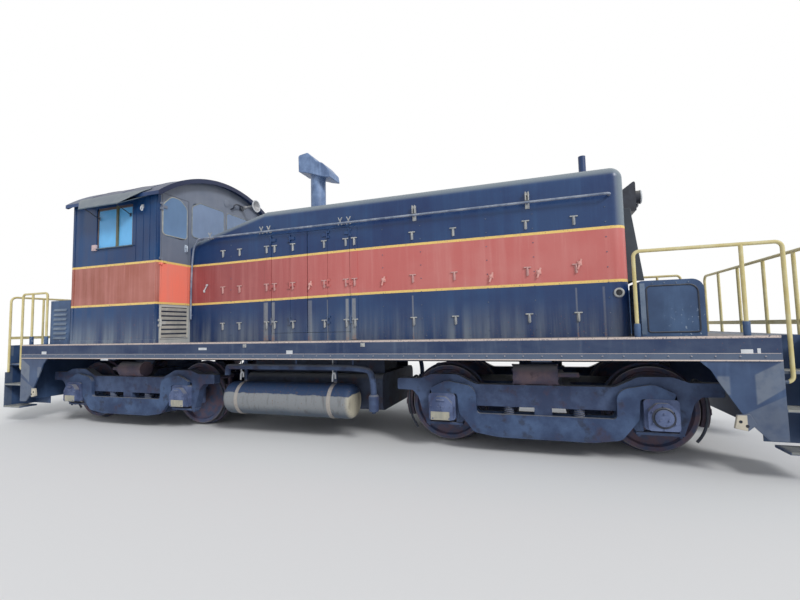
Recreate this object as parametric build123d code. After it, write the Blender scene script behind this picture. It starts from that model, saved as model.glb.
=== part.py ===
"""Four-axle diesel switcher locomotive, full size, in millimetres.

The frame stands on two swivelling trucks. +X points to the hood end, +Y to the
left side and +Z up. The origin lies on the floor under the middle of the
locomotive, and the wheels stand on their flanges.
"""

import os
from math import acos, asin, atan2, cos, degrees, hypot, pi, radians, sin, sqrt, tan

from build123d import *

os.makedirs("parts", exist_ok=True)

# Wheels and axles
FLANGE_H = 28.0           # flange below the tread
TREAD_R = 508.0           # 40 inch wheel
WHEEL_INNER_Y = 678.0     # inner face of a wheel
FLANGE_W = 30.0
WHEEL_W = 140.0
RIM_T = 62.0              # rim depth under the tread
WEB_T = 26.0
HUB_R = 130.0
AXLE_R = 92.0
JOURNAL_R = 80.0
JOURNAL_END_Y = 1195.0
FIT = 0.3                 # running clearance at pins, journals and the centre plate
CLEAR = 5.0               # clearance between pieces that move past each other

RAIL_Z = FLANGE_H         # rail top, when the flanges stand on the floor
AXLE_Z = RAIL_Z + TREAD_R

# Trucks
TRUCK_X = 3353.0          # truck centre from the middle, 22 ft apart
HALF_BASE = 1219.0        # axle from the truck centre, 8 ft wheelbase
FRAME_IN_Y = 1060.0       # cast side frame, inner and outer face
FRAME_OUT_Y = 1190.0
FRAME_TOP_Z = RAIL_Z + 805.0
FRAME_SLOT_Z = RAIL_Z + 540.0
FRAME_ARCH_Z = RAIL_Z + 925.0
FRAME_HALF_L = 1830.0
JAW_HALF = 172.0          # half width of the opening for a journal box
JAW_TOP_Z = RAIL_Z + 745.0
EQ_T = 55.0               # equalizer bar thickness
EQ_Z0 = RAIL_Z + 180.0
EQ_Z1 = RAIL_Z + 455.0
BOX_TOP_Z = RAIL_Z + 690.0
BOX_OUT_Y = 1330.0
BOLSTER_HALF_X = 240.0
CENTRE_PLATE_R = 300.0
BOLSTER_TOP_Z = RAIL_Z + 900.0
CENTRE_PIN_R = 60.0

# Underframe
DECK_Z = RAIL_Z + 1369.0
DECK_T = 20.0
DECK_HALF_X = 5552.0
SILL_Y = 1520.0
SILL_H = 237.0
SILL_T = 20.0
CENTRE_SILL_IN_Y = 200.0
CENTRE_SILL_OUT_Y = 380.0
CENTRE_SILL_H = 330.0
JACK_PAD_HALF_X = 110.0
JACK_PAD_Y = (1425.0, 1505.0)
JACK_PAD_T = 20.0
PLATE_T = 25.0
PILOT_BOTTOM_Z = RAIL_Z + 380.0
PLATFORM_X = 6000.0       # outer edge of the end platforms and steps
COUPLER_Z = RAIL_Z + 876.0
COUPLER_FACE_X = 6770.0
SHANK_HALF_Y = 75.0
SHANK_HALF_Z = 65.0
# Step treads: height above the rail, outer edge
STEPS = [(275.0, 1520.0), (672.0, 1520.0), (1030.0, 1455.0)]
STEP_IN_Y = 1020.0
STEP_DEPTH = 270.0

# Handrails
RAIL_R = 19.0
RAIL_TOP_Z = RAIL_Z + 2300.0
RAIL_Y = 1480.0
FRONT_POSTS_X = (4340.0, 5300.0)
REAR_POSTS_X = (4976.0, 5366.0)   # distance behind the middle
RAIL_BEND = 90.0
CROSS_X = 5975.0          # cross rail on the outer edge of the platform
CROSS_TOP_Z = RAIL_Z + 2265.0
CROSS_POSTS_Y = [-950.0, -330.0, 330.0, 950.0]
GRAB_X = 5637.0           # vertical grab beside the end plate
GRAB_LOW_Z = RAIL_Z + 930.0

# Hood
HOOD_Y = 835.0
HOOD_TOP_Z = RAIL_Z + 3520.0
HOOD_LOW_Z = RAIL_Z + 3120.0    # hood top where it meets the cab
HOOD_TAPER_X = -862.0           # start of the taper towards the cab
HOOD_FRONT_X = 4430.0
HOOD_CORNER_R = 150.0
HOOD_T = 30.0
RADIATOR_X = 4240.0             # seam between the hood sides and the radiator front

# Cab
CAB_FRONT_X = -2387.0
CAB_REAR_X = -4335.0
CAB_Y = 1500.0
CAB_T = 50.0
CAB_FLOOR_Z = DECK_Z + 150.0
ROOF_PEAK_Z = RAIL_Z + 4390.0
ROOF_EAVE_Z = RAIL_Z + 3800.0
ROOF_EAVE_Y = 1600.0
ROOF_T = 45.0
ROOF_OVERHANG = 120.0
ROOF_R = (ROOF_EAVE_Y**2 + (ROOF_PEAK_Z - ROOF_EAVE_Z) ** 2) / (2 * (ROOF_PEAK_Z - ROOF_EAVE_Z))


def block(x0, x1, y0, y1, z0, z1):
    """Box between two corners."""
    return Pos((x0 + x1) / 2, (y0 + y1) / 2, (z0 + z1) / 2) * Box(x1 - x0, y1 - y0, z1 - z0)


def rod_x(x0, x1, y, z, r):
    """Cylinder along X."""
    return Pos((x0 + x1) / 2, y, z) * Rot(0, 90, 0) * Cylinder(r, x1 - x0)


def rod_y(x, y0, y1, z, r):
    """Cylinder along Y."""
    return Pos(x, (y0 + y1) / 2, z) * Rot(90, 0, 0) * Cylinder(r, y1 - y0)


def rod_z(x, y, z0, z1, r):
    """Cylinder along Z."""
    return Pos(x, y, (z0 + z1) / 2) * Cylinder(r, z1 - z0)


def plate_xz(corners, y0, y1):
    """Plate between y0 and y1 from its outline, rows of (x, z, corner radius)."""
    points = [(x, z) for x, z, _ in corners]
    outline = FilletPolyline(*points, radius=[r for _, _, r in corners], close=True)
    return Pos(0, y1, 0) * extrude(Plane.XZ * make_face(outline), amount=y1 - y0)


def plate_yz(corners, x0, x1):
    """Plate between x0 and x1 from its outline, rows of (y, z, corner radius)."""
    points = [(y, z) for y, z, _ in corners]
    outline = FilletPolyline(*points, radius=[r for _, _, r in corners], close=True)
    return Pos(x0, 0, 0) * extrude(Plane.YZ * make_face(outline), amount=x1 - x0)


def plate_xy(corners, z0, z1):
    """Plate between z0 and z1 from its outline, rows of (x, y, corner radius)."""
    points = [(x, y) for x, y, _ in corners]
    outline = FilletPolyline(*points, radius=[r for _, _, r in corners], close=True)
    return Pos(0, 0, z0) * extrude(make_face(outline), amount=z1 - z0)


def pipe(points, r, bend):
    """Round bar along straight runs joined by arcs of one bend radius."""
    path = FilletPolyline(*points, radius=bend)
    start = Plane(origin=path @ 0, z_dir=path % 0)
    return sweep(start * Circle(r), path=path)


def both_sides(shape):
    """The shape and its mirror image on the other side of the locomotive."""
    return [shape, mirror(shape, Plane.XZ)]


def turned(shape):
    """The same shape at the other end of the locomotive."""
    return Rot(0, 0, 180) * shape


def group(*shapes):
    """Separate solids that share a node."""
    solids = []
    for shape in shapes:
        for item in shape if isinstance(shape, (list, tuple)) else [shape]:
            solids.extend(item.solids())
    return solids[0] if len(solids) == 1 else Compound(solids)


# Wheels and trucks, drawn about the truck centre

def wheelset():
    """Two flanged wheels on an axle, turned from one half profile (radius, y)."""
    inner, outer = WHEEL_INNER_Y, WHEEL_INNER_Y + WHEEL_W
    rim_in = TREAD_R - RIM_T
    half = [
        (JOURNAL_R, JOURNAL_END_Y), (JOURNAL_R, outer + 30), (HUB_R - 10, outer + 20), (HUB_R, outer - 30),
        (rim_in - 20, inner + 70 + WEB_T), (rim_in, outer), (TREAD_R - 10, outer), (TREAD_R - 3, outer - 12),
        (TREAD_R + 2, inner + FLANGE_W + 8), (TREAD_R + FLANGE_H, inner + 18),
        (TREAD_R + FLANGE_H, inner + 8), (TREAD_R + FLANGE_H - 10, inner), (rim_in, inner),
        (rim_in - 20, inner + 70), (HUB_R, inner + 40), (HUB_R, inner - 10), (AXLE_R, inner - 10),
    ]
    points = [(0, JOURNAL_END_Y)] + half + [(r, -y) for r, y in reversed(half)] + [(0, -JOURNAL_END_Y)]
    return revolve(make_face(Polyline(*points, close=True)), axis=Axis.Y)


def side_frame():
    """Cast side frame with two pedestals, in the rows of one half (x, z, radius)."""
    a = HALF_BASE
    half = [
        (a - 430, FRAME_SLOT_Z, 30), (a - 330, FRAME_SLOT_Z - 70, 40), (a - 250, RAIL_Z + 325, 20),
        (a - JAW_HALF, RAIL_Z + 325, 10), (a - JAW_HALF, JAW_TOP_Z, 60), (a + JAW_HALF, JAW_TOP_Z, 60),
        (a + JAW_HALF, RAIL_Z + 315, 10), (a + 225, RAIL_Z + 315, 20), (a + 330, RAIL_Z + 640, 100),
        (a + 400, RAIL_Z + 715, 30), (FRAME_HALF_L, RAIL_Z + 720, 20),
        (FRAME_HALF_L, RAIL_Z + 865, 20), (a + 300, RAIL_Z + 865, 150), (a + 140, FRAME_ARCH_Z, 150),
        (a - 190, FRAME_ARCH_Z, 150), (a - 430, FRAME_TOP_Z, 150),
    ]
    left = [(-x, z, r) for x, z, r in reversed(half)]
    frame = plate_xz(half + left, -FRAME_OUT_Y, -FRAME_IN_Y)
    return frame + block(-100, 100, -FRAME_OUT_Y, -FRAME_IN_Y, EQ_Z0 + 120, FRAME_SLOT_Z + 20)


def equalizer(y_out):
    """Drop equalizer bar that hangs over both journal boxes of one side."""
    a = HALF_BASE
    half = [
        (a - 700, EQ_Z0, 150), (a - 400, RAIL_Z + 225, 120), (a - 215, RAIL_Z + 460, 100),
        (a - 200, BOX_TOP_Z, 40), (a + 130, BOX_TOP_Z, 10), (a + 150, BOX_TOP_Z + 60, 20),
        (a - 60, RAIL_Z + 850, 150), (a - 430, RAIL_Z + 780, 150), (a - 436, EQ_Z1, 45),
    ]
    left = [(-x, z, r) for x, z, r in reversed(half)]
    return plate_xz(half + left, y_out, y_out + EQ_T)


def journal_box(x):
    """Journal box around one end of an axle, on the right side."""
    half = JAW_HALF - FIT
    outline = [
        (x - half, AXLE_Z - 150, 40), (x + half, AXLE_Z - 150, 40), (x + half, BOX_TOP_Z, 40),
        (x - half, BOX_TOP_Z, 40),
    ]
    box = plate_xz(outline, -FRAME_OUT_Y - CLEAR - EQ_T - 10, -900)
    face = [
        (x - 150, AXLE_Z - 140, 30), (x + 150, AXLE_Z - 140, 30), (x + 150, AXLE_Z + 60, 80),
        (x + 60, AXLE_Z + 150, 60), (x - 60, AXLE_Z + 150, 60), (x - 150, AXLE_Z + 60, 80),
    ]
    box += plate_xz(face, -BOX_OUT_Y, -FRAME_OUT_Y - CLEAR - EQ_T)
    return box - rod_y(x, -JOURNAL_END_Y - FIT, 0, AXLE_Z, JOURNAL_R + FIT)


def truck_frame():
    """Side frames, transoms, bolster with its centre bowl, and the motors."""
    low, shoulder = RAIL_Z + 640, FRAME_TOP_Z - 45
    frame = plate_yz([
        (-FRAME_IN_Y - 5, low, 0), (FRAME_IN_Y + 5, low, 0), (FRAME_IN_Y + 5, shoulder, 0), (950, shoulder, 30),
        (780, BOLSTER_TOP_Z, 30), (-780, BOLSTER_TOP_Z, 30), (-950, shoulder, 30), (-FRAME_IN_Y - 5, shoulder, 0),
    ], -BOLSTER_HALF_X, BOLSTER_HALF_X)
    frame += rod_z(0, 0, BOLSTER_TOP_Z - 10, BOLSTER_TOP_Z + 30, CENTRE_PLATE_R + 30)
    frame -= rod_z(0, 0, BOLSTER_TOP_Z, BOLSTER_TOP_Z + 60, CENTRE_PLATE_R + FIT)
    frame -= rod_z(0, 0, BOLSTER_TOP_Z - 180, BOLSTER_TOP_Z + 1, CENTRE_PIN_R + FIT)
    for part in both_sides(side_frame()):
        frame += part
    reach = HALF_BASE - AXLE_R - 30
    for end in (-1, 1):
        x0, x1 = sorted((end * (BOLSTER_HALF_X - 5), end * 350))
        frame += block(x0, x1, -FRAME_IN_Y - 5, FRAME_IN_Y + 5, RAIL_Z + 560, RAIL_Z + 780)
        x0, x1 = sorted((end * 340, end * reach))
        frame += block(x0, x1, -380, 380, AXLE_Z - 280, AXLE_Z + 240)
    return frame


def truck_brakes():
    """Brake cylinders on the side frames, and a shoe, head and hanger at each outer tread."""
    parts = []
    shoe_in, shoe_out = TREAD_R + 12, TREAD_R + 62
    for end in (-1, 1):
        x = end * HALF_BASE
        ring = rod_y(x, -810, -715, AXLE_Z, shoe_out + 30) - rod_y(x, -900, -600, AXLE_Z, shoe_in)
        x0, x1 = sorted((x, x + end * 900))
        shoe = ring & block(x0, x1, -810, -715, AXLE_Z - 190, AXLE_Z + 150)
        hx = end * (HALF_BASE + TREAD_R + 40)
        shoe += block(hx - 22, hx + 22, -790, -735, AXLE_Z, RAIL_Z + 800)
        shoe += rod_y(hx, -FRAME_IN_Y, -700, RAIL_Z + 800, 30)
        beam_x = end * (HALF_BASE + shoe_out + 25)
        shoe += block(beam_x - 30, beam_x + 30, -760, 0, AXLE_Z - 60, AXLE_Z + 10)
        left = mirror(shoe, Plane.XZ)
        parts.append(shoe + left)
    cylinder = rod_x(-330, 180, -1125, FRAME_TOP_Z + 125, 125) + rod_x(180, 420, -1125, FRAME_TOP_Z + 125, 30)
    cylinder += block(-250, -190, -1180, -1070, FRAME_TOP_Z, FRAME_TOP_Z + 125)
    cylinder += block(60, 120, -1180, -1070, FRAME_TOP_Z, FRAME_TOP_Z + 125)
    return group(parts, both_sides(cylinder))


# Underframe and ends, drawn at the front and turned for the rear

def x_pad(end, side):
    """X of one edge of the jacking pad at that end."""
    return end * TRUCK_X + side * JACK_PAD_HALF_X


def underframe():
    """Deck, side sills, centre sills, body bolsters with centre pins, and draft gear boxes."""
    frame = block(-DECK_HALF_X, DECK_HALF_X, -SILL_Y + SILL_T, SILL_Y - SILL_T, DECK_Z - DECK_T, DECK_Z)
    for side in (-1, 1):
        y0, y1 = sorted((side * (SILL_Y - SILL_T), side * SILL_Y))
        frame += block(-DECK_HALF_X, DECK_HALF_X, y0, y1, DECK_Z - SILL_H, DECK_Z + 12)
        y0, y1 = sorted((side * (SILL_Y - 110), side * (SILL_Y - SILL_T + 1)))
        frame += block(-DECK_HALF_X, DECK_HALF_X, y0, y1, DECK_Z - SILL_H, DECK_Z - SILL_H + 18)
        y0, y1 = sorted((side * CENTRE_SILL_IN_Y, side * CENTRE_SILL_OUT_Y))
        frame += block(-DECK_HALF_X + 30, DECK_HALF_X - 30, y0, y1, DECK_Z - DECK_T - CENTRE_SILL_H, DECK_Z - 1)
    sill_bottom = DECK_Z - DECK_T - CENTRE_SILL_H
    for end in (-1, 1):
        x = end * TRUCK_X
        bolster = plate_yz([
            (-SILL_Y + 5, DECK_Z - 10, 0), (-SILL_Y + 5, DECK_Z - 160, 0), (-500, sill_bottom, 0),
            (500, sill_bottom, 0), (SILL_Y - 5, DECK_Z - 160, 0), (SILL_Y - 5, DECK_Z - 10, 0),
        ], x - 180, x + 180)
        frame += bolster
        frame += rod_z(x, 0, BOLSTER_TOP_Z + FIT, sill_bottom + 5, CENTRE_PLATE_R)
        frame += rod_z(x, 0, BOLSTER_TOP_Z - 150, BOLSTER_TOP_Z + 10, CENTRE_PIN_R)
        x0, x1 = sorted((end * 4950, end * (DECK_HALF_X - PLATE_T)))
        draft = block(x0, x1, -240, 240, COUPLER_Z - 120, sill_bottom + 5)
        draft -= block(x0 - 50, x1 + 50, -SHANK_HALF_Y - FIT, SHANK_HALF_Y + FIT,
                       COUPLER_Z - SHANK_HALF_Z - FIT, COUPLER_Z + SHANK_HALF_Z + FIT)
        frame += draft
        for side in (-1, 1):
            y0, y1 = sorted((side * JACK_PAD_Y[0], side * JACK_PAD_Y[1]))
            low_z = DECK_Z - SILL_H
            frame += block(x_pad(end, -1), x_pad(end, 1), y0, y1, low_z - JACK_PAD_T, low_z + 1)
    return frame


def end_plate():
    """Front pilot sheet, its side gussets, the platform and the two corner step wells."""
    x1 = DECK_HALF_X
    x0 = x1 - PLATE_T
    low_z = DECK_Z - SILL_H
    sheet = plate_yz([
        (-SILL_Y, PILOT_BOTTOM_Z + 120, 60), (-SILL_Y + 250, PILOT_BOTTOM_Z, 60),
        (SILL_Y - 250, PILOT_BOTTOM_Z, 60), (SILL_Y, PILOT_BOTTOM_Z + 120, 60),
        (SILL_Y, low_z, 0), (SILL_Y - 112, low_z, 0), (SILL_Y - 112, DECK_Z - DECK_T, 0),
        (-SILL_Y + 112, DECK_Z - DECK_T, 0), (-SILL_Y + 112, low_z, 0), (-SILL_Y, low_z, 0),
    ], x0, x1)
    sheet -= block(x0 - 1, x1 + 1, -110, 110, COUPLER_Z - 95, COUPLER_Z + 95)
    gusset = plate_xz([
        (4870, low_z, 0), (4960, RAIL_Z + 1043, 60), (5040, RAIL_Z + 891, 100), (5233, RAIL_Z + 554, 100),
        (5400, RAIL_Z + 372, 60), (x1, RAIL_Z + 372, 0), (x1, low_z, 0),
    ], -SILL_Y, -SILL_Y + SILL_T)
    end = sheet + block(x1, PLATFORM_X, -STEP_IN_Y, STEP_IN_Y, DECK_Z - 30, DECK_Z)
    for y in (-600, 600):
        end += plate_xz([
            (x1 - 5, DECK_Z - 25, 0), (x1 - 5, DECK_Z - 330, 0), (PLATFORM_X - 30, DECK_Z - 60, 0),
            (PLATFORM_X - 30, DECK_Z - 25, 0),
        ], y - 8, y + 8)
    low, high = RAIL_Z + STEPS[0][0] - 25, RAIL_Z + 880
    well = gusset
    well += block(x1, PLATFORM_X, -STEP_IN_Y - 12, -STEP_IN_Y, low, DECK_Z)
    top_y = STEPS[-1][1]
    well += plate_yz([
        (-SILL_Y, low, 0), (-SILL_Y, high, 0), (-top_y, high, 0), (-top_y, DECK_Z, 0), (-STEP_IN_Y, DECK_Z, 0),
        (-STEP_IN_Y, low, 0),
    ], PLATFORM_X - 16, PLATFORM_X)
    for height, edge in STEPS:
        z = RAIL_Z + height
        well += block(x1 - 5, PLATFORM_X, -edge, -edge + STEP_DEPTH, z - 25, z)
    for part in both_sides(well):
        end += part
    return end


def coupler():
    """Front knuckle coupler on its shank."""
    x = COUPLER_FACE_X
    shank = block(5000, x - 330, -SHANK_HALF_Y, SHANK_HALF_Y, COUPLER_Z - SHANK_HALF_Z,
                  COUPLER_Z + SHANK_HALF_Z)
    head = plate_xy([
        (x - 420, -110, 30), (x - 250, -190, 40), (x - 60, -210, 20), (x, -150, 20), (x - 60, -60, 20),
        (x - 190, -20, 30), (x - 175, 50, 20), (x - 80, 60, 15), (x - 70, 10, 15), (x, 10, 20),
        (x, 120, 50), (x - 90, 170, 40), (x - 250, 180, 40), (x - 420, 110, 30),
    ], COUPLER_Z - 140, COUPLER_Z + 140)
    return shank + head


def handrails(first_x, second_x):
    """Front handrails: one along each side from its first post, and the cross rail with its posts."""
    side = pipe([
        (first_x, -RAIL_Y, DECK_Z), (first_x, -RAIL_Y, RAIL_TOP_Z), (GRAB_X, -RAIL_Y, RAIL_TOP_Z),
        (GRAB_X, -RAIL_Y, GRAB_LOW_Z), (DECK_HALF_X, -RAIL_Y, GRAB_LOW_Z),
    ], RAIL_R, 60)
    side += rod_z(second_x, -RAIL_Y, DECK_Z, RAIL_TOP_Z, RAIL_R)
    cross = pipe([
        (CROSS_X, -RAIL_Y, RAIL_Z + 880), (CROSS_X, -RAIL_Y, CROSS_TOP_Z), (CROSS_X, RAIL_Y, CROSS_TOP_Z),
        (CROSS_X, RAIL_Y, RAIL_Z + 880),
    ], RAIL_R, RAIL_BEND)
    for y in CROSS_POSTS_Y:
        cross += rod_z(CROSS_X, y, DECK_Z, CROSS_TOP_Z, RAIL_R)
    cross += block(CROSS_X - 6, CROSS_X + 6, -RAIL_Y, RAIL_Y, RAIL_Z + 1480, RAIL_Z + 1530)
    return group(both_sides(side), cross)


# Hood

def hood_profile(inset, drop):
    """Side outline of the hood, pulled in at the ends by inset and lowered by drop."""
    return [
        (CAB_FRONT_X, DECK_Z, 0), (HOOD_FRONT_X - inset, DECK_Z, 0),
        (HOOD_FRONT_X - inset, HOOD_TOP_Z - drop, 0), (HOOD_TAPER_X, HOOD_TOP_Z - drop, 0),
        (CAB_FRONT_X, HOOD_LOW_Z - drop, 0),
    ]


def hood_shell():
    """Whole hood as a hollow shell with rounded top and front edges."""
    outer = plate_xz(hood_profile(0, 0), -HOOD_Y, HOOD_Y)
    long_edges = [e for e in outer.edges() if e.center().Z > HOOD_LOW_Z - 1 + (HOOD_TOP_Z - HOOD_LOW_Z) * 0.3
                  and abs(abs(e.center().Y) - HOOD_Y) < 1 and e.length > 300]
    front_edges = [e for e in outer.edges() if e.center().X > HOOD_FRONT_X - 1
                   and e.center().Z > DECK_Z + 10]
    outer = fillet(long_edges + front_edges, HOOD_CORNER_R)
    inner = plate_xz(hood_profile(HOOD_T, HOOD_T), -HOOD_Y + HOOD_T, HOOD_Y - HOOD_T)
    long_edges = [e for e in inner.edges() if e.center().Z > HOOD_LOW_Z - 31 + (HOOD_TOP_Z - HOOD_LOW_Z) * 0.3
                  and abs(abs(e.center().Y) - HOOD_Y + HOOD_T) < 1 and e.length > 300]
    front_edges = [e for e in inner.edges() if e.center().X > HOOD_FRONT_X - HOOD_T - 1
                   and e.center().Z > DECK_Z + 10]
    inner = fillet(long_edges + front_edges, HOOD_CORNER_R - HOOD_T)
    return outer - inner


HINGE_R = 11.0            # hinge knuckles
HINGE_PIN_R = 6.0
HINGE_OFF = HINGE_R + CLEAR
HOOD_HINGES_Z = [RAIL_Z + 1680.0, RAIL_Z + 2250.0, RAIL_Z + 3000.0]
HOOD_DOOR_Z0 = RAIL_Z + 1490.0
HOOD_DOOR_Z1 = RAIL_Z + 3090.0
# Folding hood doors on each side: name, x of the post hinge, x of the fold, direction from the post
HOOD_DOORS = [("rear", -720.0, -370.0, 1), ("front", 680.0, 300.0, -1)]
HOOD_DOOR_MEET_X = -55.0


def swing(width, depth):
    """How far the inner corner of a leaf bulges past its free edge as it turns."""
    return hypot(width, depth) - width


def hinge_root(x, wall_x0, z):
    """Pin with two knuckles and the plate that carries them, on the fixed side of a hood hinge."""
    y = -HOOD_Y - HINGE_OFF
    pin = rod_z(x, y, z - 60, z + 60, HINGE_PIN_R)
    for z0, z1 in ((z - 60, z - 25), (z + 25, z + 60)):
        pin += rod_z(x, y, z0, z1, HINGE_R)
        x0, x1 = sorted((x, wall_x0))
        pin += block(x0, x1, y, -HOOD_Y, z0, z1) - rod_z(x, y, z0 - 1, z1 + 1, HINGE_R - 2)
    return pin


def hinge_barrel(x, direction, z):
    """Barrel and strap on the leaf side of a hood hinge."""
    y = -HOOD_Y - HINGE_OFF
    z0, z1 = z - 25 + FIT, z + 25 - FIT
    barrel = rod_z(x, y, z0, z1, HINGE_R)
    x0, x1 = sorted((x, x + direction * 90))
    barrel += block(x0, x1, y, y + 6, z0, z1)
    x0, x1 = sorted((x + direction * 40, x + direction * 90))
    barrel += block(x0, x1, y, -HOOD_Y + 1, z0, z1)
    return barrel - rod_z(x, y, z0 - 1, z1 + 1, HINGE_PIN_R + FIT)


def hood_leaf(hinge_x, edge_gap, free_x, direction):
    """Right-hand hood leaf from edge_gap past its hinge to its free edge, with its barrels, closed."""
    x0, x1 = sorted((hinge_x + direction * edge_gap, free_x))
    leaf = block(x0, x1, -HOOD_Y, -HOOD_Y + HOOD_T, HOOD_DOOR_Z0 + CLEAR, HOOD_DOOR_Z1 - CLEAR)
    for z in HOOD_HINGES_Z:
        leaf += hinge_barrel(hinge_x, direction, z)
    return leaf


def inner_leaf(post_x, fold_x, direction):
    """Half of a folding door that hangs on the hood post and carries the fold hinges."""
    leaf = hood_leaf(post_x, CLEAR, fold_x - direction * CLEAR / 2, direction)
    for z in HOOD_HINGES_Z:
        leaf += hinge_root(fold_x, fold_x - direction * 40, z)
    return leaf


def outer_leaf(fold_x, direction):
    """Half of a folding door that hangs on the inner half and meets the opposite door."""
    reach = abs(HOOD_DOOR_MEET_X - fold_x)
    gap = CLEAR / 2 + swing(reach, HOOD_T + HINGE_OFF)
    return hood_leaf(fold_x, CLEAR / 2, HOOD_DOOR_MEET_X - direction * gap, direction)


def hood_side(shell):
    """Right side panel of the hood with the opening for the pair of doors."""
    cut = plate_xz(hood_profile(0, HOOD_CORNER_R), -HOOD_Y - 10, 0)
    cut &= block(CAB_FRONT_X, RADIATOR_X, -HOOD_Y - 10, 0, DECK_Z, HOOD_TOP_Z)
    side = shell & cut
    side -= block(HOOD_DOORS[0][1], HOOD_DOORS[1][1], -HOOD_Y - 10, -HOOD_Y + HOOD_T + 10,
                  HOOD_DOOR_Z0, HOOD_DOOR_Z1)
    for _, post_x, _, direction in HOOD_DOORS:
        for z in HOOD_HINGES_Z:
            side += hinge_root(post_x, post_x - direction * 40, z)
    return side


def hood_top(shell):
    """Rounded top sheet of the hood between the cab and the radiator front."""
    cut = block(CAB_FRONT_X, RADIATOR_X, -HOOD_Y, HOOD_Y, DECK_Z, HOOD_TOP_Z + 10)
    cut -= plate_xz(hood_profile(0, HOOD_CORNER_R), -HOOD_Y - 10, HOOD_Y + 10)
    return shell & cut


GRILLE_Y = 600.0
GRILLE_Z0 = RAIL_Z + 1560.0
GRILLE_Z1 = RAIL_Z + 2960.0
SLAT_PITCH = 100.0


def radiator_front(shell):
    """Front of the hood with its shutter slats and the radiator core behind them."""
    front = shell & block(RADIATOR_X, HOOD_FRONT_X + 10, -HOOD_Y, HOOD_Y, DECK_Z, HOOD_TOP_Z + 10)
    front -= block(HOOD_FRONT_X - 60, HOOD_FRONT_X + 10, -GRILLE_Y, GRILLE_Y, GRILLE_Z0, GRILLE_Z1)
    count = int((GRILLE_Z1 - GRILLE_Z0) / SLAT_PITCH)
    for i in range(count):
        z = GRILLE_Z0 + (i + 0.5) * SLAT_PITCH
        front += Pos(HOOD_FRONT_X - 22, 0, z) * Rot(0, 35, 0) * Box(8, 2 * GRILLE_Y + 4, 70)
    return front


def exhaust():
    """Exhaust stack with its tilted weather cap."""
    stack = rod_z(-318, 0, HOOD_TOP_Z, RAIL_Z + 4250, 133)
    cap = Pos(-300, 0, RAIL_Z + 4400) * Rot(0, 35, 0) * Cylinder(300, 40)
    cap += Pos(-318, 0, RAIL_Z + 4330) * Box(40, 200, 200)
    return stack + cap


def top_vent():
    """Short vent stub on the front of the hood top."""
    return rod_z(4060, 0, HOOD_TOP_Z, RAIL_Z + 3990, 50)


def grab_rail():
    """Right grab rail along the hood with its standoffs."""
    y, z = -HOOD_Y - 75, RAIL_Z + 3138
    rail = pipe([(-2150, -HOOD_Y, z), (-2150, y, z), (4250, y, z), (4250, -HOOD_Y, z)], 16, 40)
    for x in (-900, 600, 1714, 3272):
        rail += rod_y(x, y, -HOOD_Y, z, 10)
    return rail


# Cab

ROOF_CENTRE_Z = ROOF_PEAK_Z - ROOF_R
DOOR_HINGE_Y = -1425.0
DOOR_FREE_Y = -885.0
DOOR_Z0 = DECK_Z + 60.0
DOOR_Z1 = RAIL_Z + 3830.0
DOOR_HINGES_Z = [RAIL_Z + 1700.0, RAIL_Z + 2700.0, RAIL_Z + 3600.0]
SIDE_WINDOW = (-3760.0, -2930.0, RAIL_Z + 3000.0, RAIL_Z + 3690.0)   # x0, x1, z0, z1
# Windows of the end walls: y0, y1, z0, z1
FRONT_WINDOWS = [(-800.0, -30.0, RAIL_Z + 3250.0, RAIL_Z + 3840.0),
                 (30.0, 800.0, RAIL_Z + 3250.0, RAIL_Z + 3840.0)]
REAR_WINDOWS = [(-700.0, 90.0, RAIL_Z + 3000.0, RAIL_Z + 3690.0),
                (440.0, 1330.0, RAIL_Z + 3000.0, RAIL_Z + 3690.0)]
DOOR_WINDOW = (-1375.0, -945.0, RAIL_Z + 3120.0, RAIL_Z + 3740.0)
WINDOW_R = 70.0
GLASS_T = 8.0


def window_x(box, x0, x1, inset=0.0):
    """Rounded block for a window in an end wall."""
    y0, y1, z0, z1 = box
    corners = [(y0 + inset, z0 + inset, WINDOW_R), (y1 - inset, z0 + inset, WINDOW_R),
               (y1 - inset, z1 - inset, WINDOW_R), (y0 + inset, z1 - inset, WINDOW_R)]
    return plate_yz(corners, x0, x1)


def window_y(box, y0, y1, inset=0.0):
    """Rounded block for a window in a side wall."""
    x0, x1, z0, z1 = box
    corners = [(x0 + inset, z0 + inset, 25), (x1 - inset, z0 + inset, 25),
               (x1 - inset, z1 - inset, 25), (x0 + inset, z1 - inset, 25)]
    return plate_xz(corners, y0, y1)


def under_roof(r):
    """Space under the arch of the roof."""
    arch = rod_x(CAB_REAR_X - 500, CAB_FRONT_X + 500, 0, ROOF_CENTRE_Z, r)
    return arch + block(CAB_REAR_X - 500, CAB_FRONT_X + 500, -r, r, DECK_Z, ROOF_CENTRE_Z)


def cab_side():
    """Right side wall of the cab with its window opening."""
    wall = block(CAB_REAR_X, CAB_FRONT_X, -CAB_Y, -CAB_Y + CAB_T, DECK_Z, ROOF_PEAK_Z)
    wall &= under_roof(ROOF_R - ROOF_T - FIT)
    return wall - window_y(SIDE_WINDOW, -CAB_Y - 1, -CAB_Y + CAB_T + 1)


def door_hinge_root(x, z):
    """Pin and knuckles of a cab door hinge, on the outside of the front wall."""
    y = DOOR_HINGE_Y
    pin = rod_z(x + HINGE_OFF, y, z - 60, z + 60, HINGE_PIN_R)
    for z0, z1 in ((z - 60, z - 25), (z + 25, z + 60)):
        pin += rod_z(x + HINGE_OFF, y, z0, z1, HINGE_R)
        pin += block(x, x + HINGE_OFF, y - 45, y, z0, z1) - rod_z(x + HINGE_OFF, y, z0 - 1, z1 + 1, 9)
    return pin


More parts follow.
